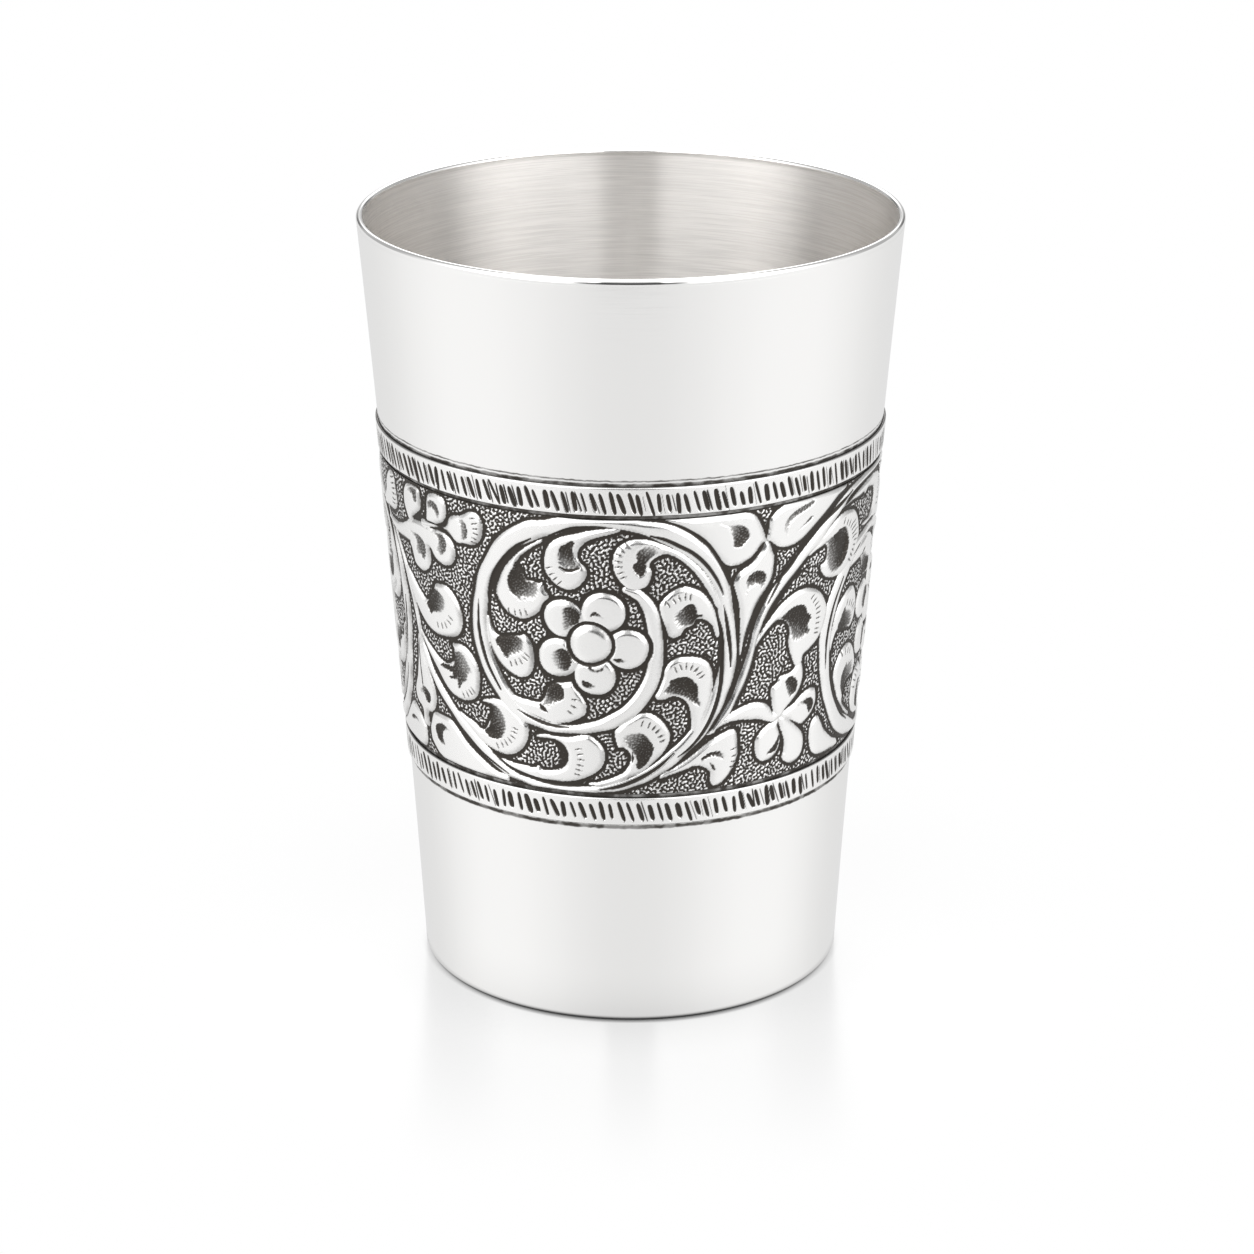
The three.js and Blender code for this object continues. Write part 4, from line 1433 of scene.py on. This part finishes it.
LEFT_MOTIFS = [
    dict(
        forms=[
            [
                (-29.1, -2.6), (-29.5, -4.7), (-29.9, -6.9), (-30.5, -8.7), (-31.2, -10), (-31.5, -11),
                (-31.4, -12), (-30.75, -13), (-29.7, -13.6), (-29.5, -15.4), (-28.0, -15.6),
                (-27.9, -13.6), (-27, -13.2), (-26, -12.4), (-25.45, -11.2), (-25.45, -10),
                (-25.95, -8.5), (-26.8, -6.7), (-27.6, -5.2), (-28.2, -3.7), (-28.7, -2.5),
            ],
            [
                (-28.9, -16), (-29.4, -15.5), (-30.5, -14.6), (-31.5, -14), (-32.7, -13.5), (-34, -14),
                (-35.2, -15.2), (-37, -16.7), (-39, -18.1), (-40.5, -18.9), (-39, -19.3), (-34, -19.3),
                (-30.7, -19.3), (-29.5, -18.9), (-29, -18.2), (-28.9, -17),
            ],
            [
                (-27.7, -15.5), (-27.3, -14.5), (-26.6, -13.3), (-25.5, -12.8), (-24, -12.75),
                (-22.3, -12.9), (-21, -13.8), (-19.5, -15), (-17.8, -16.2), (-16, -17.2), (-14, -18.1),
                (-12, -18.8), (-14, -19.3), (-19, -19.3), (-23.5, -19.3), (-25.5, -18.9),
                (-26.7, -18.1), (-27.5, -17.2),
            ],
        ],
        eyes=[
            ([
                (-29.9, -10.75), (-29.25, -10.3), (-28.5, -9.75), (-27.5, -10), (-26.75, -10.5),
                (-26.6, -11.25), (-27.2, -11.9), (-27.9, -11.7), (-28.5, -11), (-29.5, -11.2),
            ], 0),
            ([
                (-34, -16.25), (-33.2, -15.6), (-32.2, -15.5), (-30.8, -16.05), (-32, -15.95),
                (-33, -16.25),
            ], 110),
            ([
                (-25.9, -15.2), (-25.4, -14.4), (-24, -13.95), (-22.8, -14.3), (-22.4, -14.7),
                (-23.3, -14.7), (-24, -15.2), (-24.1, -16.2), (-23.7, -16.9), (-24.5, -17.05),
                (-25.4, -16.5),
            ], 160),
        ],
        lines=[
            [(-28.75, -3.2, 0.05), (-28.8, -6, 0.12), (-28.6, -9.6, 0.14)],
        ],
    ),
    dict(
        forms=[
            [
                (-36.8, 12.1), (-34.7, 12.1), (-32.5, 12.1), (-31, 12.5), (-29.7, 13.1), (-28.6, 13.8),
                (-26, 14.2), (-23.5, 13.6), (-23.5, 11.5), (-26, 10.5), (-29, 10.5), (-30.5, 10.5),
                (-32, 10.5), (-33.7, 10.7), (-35, 11.2),
            ],
            [
                (-28.6, 13.6), (-29.4, 15), (-29.7, 16), (-29.6, 17.2), (-29.25, 18.1), (-28.5, 18.7),
                (-27.5, 18.9), (-25.6, 18.7), (-25.25, 17.7), (-25.25, 16.7), (-25.6, 15.9),
                (-26.5, 15.2), (-27.4, 14.4), (-27.6, 13.4),
            ],
            [
                (-24.2, 14.9), (-24.2, 16), (-24.1, 17), (-23.9, 18), (-23.5, 18.6), (-22.8, 18.95),
                (-21.7, 19.05), (-20.5, 18.8), (-20.1, 18), (-20.1, 16.8), (-20.7, 15.6),
                (-21.7, 15.0), (-23, 14.6),
            ],
            [
                (-25.5, 14.6), (-24, 14.8), (-22, 14.75), (-20.5, 15), (-19.8, 16.2), (-19, 16.9),
                (-17.5, 17.2), (-16.3, 17.9), (-15.2, 18.1), (-14.5, 17.6), (-14.1, 16.5),
                (-14.25, 15.2), (-14.8, 14.1), (-15.8, 13.4), (-17.5, 13.35), (-18.6, 13.3),
                (-19.8, 14.1), (-21, 14.5), (-23, 14.2), (-25.2, 13.8),
            ],
            [
                (-24.5, 13.9), (-23, 13.95), (-21.7, 14.1), (-20.5, 13.9), (-19.5, 13.2), (-19, 12.2),
                (-18.95, 11.2), (-19.4, 10.2), (-20.2, 9.6), (-21.2, 9.4), (-22.4, 9.6), (-23.2, 10.1),
                (-23.8, 10.9), (-25, 11.6),
            ],
            [
                (-29, 10.5), (-28.6, 9.8), (-28.25, 8.7), (-27.9, 7.8), (-27, 7.3), (-26, 7.25),
                (-24.8, 7.9), (-24.05, 9), (-23.9, 10.1), (-24.2, 11.4), (-26, 12.2), (-28, 11.8),
            ],
        ],
        eyes=[
            ([
                (-28.5, 17.9), (-27.7, 18.5), (-26, 18.5), (-25.9, 17.7), (-26.1, 16.8), (-26.7, 17),
                (-26.9, 17.7), (-27.7, 17.9),
            ], 30, *LOBE_EYE),
            ([
                (-23.75, 17), (-23.4, 17.75), (-22.5, 18.05), (-21.6, 17.75), (-21.2, 16.75),
                (-21.4, 15.9), (-21.8, 15.4), (-21.9, 16), (-22.1, 16.7), (-22.7, 17), (-23.4, 16.6),
            ], 60, *LOBE_EYE),
            ([
                (-18, 16.5), (-17.2, 16.75), (-16.6, 16.25), (-16.4, 15.5), (-16.5, 14.5),
                (-17.1, 13.9), (-17.7, 13.9), (-17.5, 14.75), (-17.6, 15.75),
            ], 0, *LOBE_EYE),
            ([
                (-23.4, 13.95), (-22, 13.75), (-21, 13.6), (-20.4, 13.1), (-20.3, 12.1), (-20.9, 11.1),
                (-21.7, 10.7), (-22.5, 11.2), (-22, 12), (-21.9, 13),
            ], 15, *LOBE_EYE),
            ([
                (-28.6, 12.3), (-27.2, 12.4), (-26, 12.25), (-25.1, 11.75), (-24.7, 10.75),
                (-24.9, 9.6), (-25.5, 9.1), (-25.8, 9.7), (-26.5, 9.5), (-27.2, 10), (-26.8, 10.7),
                (-27, 11.6),
            ], 20, *LOBE_EYE),
        ],
        lines=[
            [
                (-27.5, 14.35, 0.1), (-26.3, 14.95, 0.28), (-25.2, 16.0, 0.3), (-24.8, 17.5, 0.3),
            ],
            [(-24.6, 14.75, 0.05), (-22.8, 14.75, 0.12), (-21, 14.6, 0.12)],
        ],
        ticks=[(-15.4, 17.3), (-15.0, 15.5), (-15.5, 13.9)],
    ),
    dict(
        forms=[
            [
                (-38, 13.4), (-36.5, 16.2), (-35.4, 18.1), (-33.6, 19.0), (-32.6, 18.2), (-32.4, 16.6),
                (-32.2, 15.1), (-32.7, 14), (-33.9, 13.4), (-35.6, 13.2),
            ],
        ],
        eyes=[],
        ticks=[(-33.2, 18.2), (-32.8, 16.4), (-33, 14.6)],
    ),
]
print("motifs to the left:", len(LEFT_MOTIFS))

# %% [markdown]
# ## The chased band: four panels
# All forms are raised together, so that they join where they touch, and then lines, eyes, ticks and
# rosettes are cut. The drawing is made once, for two scrolls, and used twice round the cup. The
# band is wrapped in four quarter panels, because one mesh as fine as this would be too heavy
# to keep. The panels meet edge to edge, and the drawing runs on across the joins.

# %% Gather the outlines
SCROLLS = ((0, False), (SCROLL_PITCH, True))

forms, eyes, cuts, ticks = [], [], [], []
for shift, flip in SCROLLS:
    forms.append(put(STEM, shift, flip))
    cuts += [put(line, shift, flip) for line in STEM_LINES + EXTRA_CUTS]
    leaves = OUTER_LEAVES + INNER_LEAVES
    for leaf in leaves if flip else ENTRY_LEAVES + leaves:
        forms.append(put(leaf["form"], shift, flip))
        eyes.append((put(leaf["eye"], shift, flip), -leaf["dark"] if flip else leaf["dark"]))
        ticks += tick_row(put(leaf["ticks"], shift, flip))
for motif in LEFT_MOTIFS + RIGHT_MOTIFS:
    forms += motif["forms"]
    eyes += motif["eyes"]
    cuts += motif.get("lines", [])
    if "ticks" in motif:
        ticks += tick_row(motif["ticks"])
print("forms:", len(forms), "- eyes:", len(eyes), "- ticks:", len(ticks))

# %% Chase the ornament
# rise, groove round the form and rounding of its edge, mm
FORM_CHASING = (0.38, 0.38, 0.75)
PETAL_CHASING = (0.37, 0.5, 0.8)
BOSS_CHASING = (0.38, 0.42, 1.2)
PETAL_EYE_MOST, PETAL_EYE_DEPTH = 0.92, 0.1
TICK_DEPTH, TICK_DARK = 0.1, 0.8
BAND_EDGE_DARK = 0.7

raise_forms(forms, *FORM_CHASING)
engrave(cuts)
for outline, dark, *shading in eyes:
    sink_eye(outline, dark, *shading)
engrave(ticks, TICK_DEPTH, TICK_DARK)
for shift, flip in SCROLLS:
    raise_forms([put([petal], shift, flip) for petal in PETALS], *PETAL_CHASING)
    for outline, dark, light in PETAL_EYES:
        side = -dark if flip else dark
        sink_eye(put(outline, shift, flip), side, PETAL_EYE_MOST, PETAL_EYE_DEPTH, light)
    raise_forms([put([(*ROSETTE, BOSS_RADIUS)], shift, flip)], *BOSS_CHASING)
from_edge = HALF_FIELD - np.abs(up)
relief[:] = relief * soft(0.0, 0.25, from_edge)
oxide_and_shade[:] = np.maximum(oxide_and_shade, BAND_EDGE_DARK * soft(0.2, 0.04, from_edge))
print("relief, mm:", round(relief.min(), 2), "to", round(relief.max(), 2))
print("dark share:", round(oxide_and_shade.mean(), 2))

# %% Wrap the panels
GROUND_LEVEL = 0.07 * MM
SCROLL_BEARING = -9.3
FIRST_ANGLE = math.radians(SCROLL_BEARING - 45)
PANELS = 4

band_low, band_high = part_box("chased_band")
for panel in range(PANELS):
    chosen = (panel * PANEL_COLUMNS + np.arange(PANEL_COLUMNS + 1)) % (2 * PANEL_COLUMNS)
    piece, row, column = wrapped_grid(
        f"chased_panel_{panel + 1}",
        PANEL_COLUMNS,
        BAND_ROWS,
        FIRST_ANGLE + panel * math.pi / 2,
        math.pi / 2,
        band_low.z,
        band_high.z,
        GROUND_LEVEL + relief[:, chosen] * MM,
    )
    store_oxide_and_shade(piece, oxide_and_shade[row, chosen[column]])
    close_back(piece, band_low.z, band_high.z)
    piece.data.materials.append(chased_finish)
    declare(piece, "oxidised_silver", "chased_band")

# %% [markdown]
# ## The floor
# The cup stands on a pale glossy sheet. To the camera the sheet is plain white, with a thin contact
# shadow, a faint wider shade and a mirror image that fades a few centimetres away. Both shades come
# from Ambient Occlusion, painted into the sheet's glow, and they too fade, towards the sides. To the
# metal the sheet glows with a painted light, brighter at the sides than in front, which draws the
# soft upright bands on the plain wall. The light follows the direction in which the wall looks at
# the sheet, so the bands run straight up. The sheet ends in front, where the studio is dark.

# %% Lay the floor
FLOOR_SIDE = 3.0
FLOOR_FRONT = -0.27
FLOOR_GAP = 0.02 * MM

clear_selection()
bpy.ops.mesh.primitive_plane_add(size=FLOOR_SIDE, location=(0, FLOOR_FRONT + FLOOR_SIDE / 2, -FLOOR_GAP))
floor = new_piece("floor")
print("floor, m:", FLOOR_SIDE, "square, front edge at", FLOOR_FRONT)

# %% Light on the floor
# place between front and back, and the light there
SIDE_LIGHT = (
    (0.0, 0.81), (0.1, 0.83), (0.2, 0.885), (0.3, 0.94), (0.41, 0.965), (0.53, 0.945), (0.65, 0.87),
    (0.75, 0.81), (0.86, 0.78), (1.0, 0.765),
)

sheet = bpy.data.materials.new("pale glossy sheet")
sheet.use_nodes = True
tree = sheet.node_tree
tree.nodes.clear()
seen = tree.nodes.new("ShaderNodeLightPath").outputs["Is Camera Ray"]
x, y, _ = split(tree, own_place(tree))
side = calc(tree, "ABSOLUTE", calc(tree, "ARCTAN2", x, calc(tree, "MULTIPLY", y, -1.0)))
away = calc(tree, "SQRT", calc(tree, "ADD", calc(tree, "MULTIPLY", x, x), calc(tree, "MULTIPLY", y, y)))
twice = calc(tree, "MULTIPLY", calc(tree, "MAXIMUM", away, FOOT_RADIUS), 2.0)
turned = calc(tree, "DIVIDE", twice, calc(tree, "SUBTRACT", twice, FOOT_RADIUS))
ramp = tree.nodes.new("ShaderNodeValToRGB")
feed(tree, ramp.inputs["Fac"], calc(tree, "MULTIPLY", turned, calc(tree, "DIVIDE", side, math.pi)))
ramp.color_ramp.interpolation = "CARDINAL"
while len(ramp.color_ramp.elements) < len(SIDE_LIGHT):
    ramp.color_ramp.elements.new(0.5)
for stop, (spot, light) in zip(ramp.color_ramp.elements, SIDE_LIGHT):
    stop.position = spot
    stop.color = (light, light, light, 1.0)
print("steps of light round the floor:", len(SIDE_LIGHT))

# %% Shade and mirror of the floor
WHITE = (1.0, 1.0, 1.0, 1.0)
CONTACT_REACH, CONTACT_DEPTH = 0.95 * MM, 2.2
SHADE_REACH, SHADE_DEPTH = 12 * MM, 0.25
SHADE_SPREAD = math.radians(100)
SHADOW_SHARE = 0.15
MIRROR_SHARE = 0.2
MIRROR_TINT = 0.38
MIRROR_ROUGHNESS = 0.2
MIRROR_NEAR, MIRROR_FAR = 29 * MM, 78 * MM

glow = tree.nodes.new("ShaderNodeEmission")
feed(tree, glow.inputs["Color"], blend_colours(tree, seen, ramp.outputs["Color"], WHITE))
strength = 1.0
for reach, most in ((CONTACT_REACH, CONTACT_DEPTH), (SHADE_REACH, SHADE_DEPTH)):
    shade = tree.nodes.new("ShaderNodeAmbientOcclusion")
    shade.inputs["Distance"].default_value = reach
    depth = ease(tree, side, 0.0, SHADE_SPREAD, most, 0.0)
    strength = calc(tree, "MULTIPLY", strength, calc(tree, "POWER", shade.outputs["AO"], depth))
feed(tree, glow.inputs["Strength"], strength)
matt = tree.nodes.new("ShaderNodeBsdfDiffuse")
matt.inputs["Color"].default_value = WHITE
mirror = tree.nodes.new("ShaderNodeBsdfGlossy")
mirror.inputs["Color"].default_value = (MIRROR_TINT, MIRROR_TINT, MIRROR_TINT, 1.0)
mirror.inputs["Roughness"].default_value = MIRROR_ROUGHNESS
body = tree.nodes.new("ShaderNodeMixShader")
fading = ease(tree, away, MIRROR_NEAR, MIRROR_FAR, SHADOW_SHARE, 0.0)
feed(tree, body.inputs["Fac"], calc(tree, "MULTIPLY", seen, fading))
feed(tree, body.inputs[1], glow.outputs["Emission"])
feed(tree, body.inputs[2], matt.outputs["BSDF"])
shine = tree.nodes.new("ShaderNodeMixShader")
fading = ease(tree, away, MIRROR_NEAR, MIRROR_FAR, MIRROR_SHARE, 0.0)
feed(tree, shine.inputs["Fac"], calc(tree, "MULTIPLY", seen, fading))
feed(tree, shine.inputs[1], body.outputs["Shader"])
feed(tree, shine.inputs[2], mirror.outputs["BSDF"])
out = tree.nodes.new("ShaderNodeOutputMaterial")
feed(tree, out.inputs["Surface"], shine.outputs["Shader"])
floor.data.materials.append(sheet)
print("mirror image fades out, mm from the axis:", round(MIRROR_FAR / MM))

# %% [markdown]
# ## The studio light
# Two broad soft lamps stand left and right of the camera, with a gap between them, and the room
# falls off to the sides. The back wall is bright, but for a low strip. Polished and brushed metal show
# little of their own: the bright and grey bands inside the cup are those lamps and that gap, and
# the thin dark line under the rim and the dark touches on the bosses are the floor's dark end behind
# the camera.

# %% World
TOP_BLUR = 5
# from and to round the room and the top, in degrees, then times the light and blur of the sides
PATCHES = {
    "lamps": (-60, 80, 64, 2.02, 14),
    "sides of the room": (101, 156, 64, 0.44, 20),
    "back of the room": (165, 200, 50, 2.6, 8),
    "low part of the back": (150, 200, 17, 0.24, 6),
    "gap at the camera": (-60, 13, 40, 0.25, 1.5),
    "dark end of the floor": (-60, 24, 6, 0.12, 7),
}

world = bpy.data.worlds.new("white studio")
bpy.context.scene.world = world
world.use_nodes = True
tree = world.node_tree
tree.nodes.clear()
way = tree.nodes.new("ShaderNodeTexCoord").outputs["Generated"]
x, y, z = split(tree, way)
bearing = calc(tree, "ABSOLUTE", calc(tree, "ARCTAN2", x, calc(tree, "MULTIPLY", y, -1.0)))
bearing = calc(tree, "MULTIPLY", bearing, 180 / math.pi)
height = calc(tree, "MULTIPLY", calc(tree, "ARCSINE", z), 180 / math.pi)
tone = 1.0
for near, far, top, light, blur in PATCHES.values():
    after = ease(tree, bearing, near - blur, near + blur)
    before = ease(tree, bearing, far + blur, far - blur)
    under = ease(tree, height, top + TOP_BLUR, top - TOP_BLUR)
    patch = calc(tree, "MULTIPLY", calc(tree, "MULTIPLY", after, before), under)
    tone = calc(tree, "MULTIPLY", tone, calc(tree, "MULTIPLY_ADD", patch, light - 1.0, 1.0))
seen = tree.nodes.new("ShaderNodeLightPath").outputs["Is Camera Ray"]
room = tree.nodes.new("ShaderNodeBackground")
feed(tree, room.inputs["Color"], WHITE)
feed(tree, room.inputs["Strength"], calc(tree, "MAXIMUM", seen, tone))
out = tree.nodes.new("ShaderNodeOutputWorld")
feed(tree, out.inputs["Surface"], room.outputs["Background"])
print("light and dark patches:", *PATCHES, sep=", ")

# %% [markdown]
# ## The camera
# The camera stands half a metre away and twelve centimetres above the mouth. It looks down on the cup
# at about twenty degrees with a long lens, so that the mouth is a flat ellipse and the sides
# hardly converge.

# %% Camera
CAMERA_PLACE = (-0.49 * MM, -488.7 * MM, 224.4 * MM)
CAMERA_DIP = 20.10
LENS = 109.3
SENSOR = 36

clear_selection()
bpy.ops.object.camera_add(location=CAMERA_PLACE, rotation=(math.radians(90 - CAMERA_DIP), 0, 0))
camera = bpy.context.object
camera.data.lens = LENS
camera.data.sensor_width = SENSOR
camera.data.clip_start = 10 * MM
bpy.context.scene.camera = camera
bpy.context.scene.view_settings.view_transform = "Standard"
print("camera at", [round(part, 3) for part in camera.location])
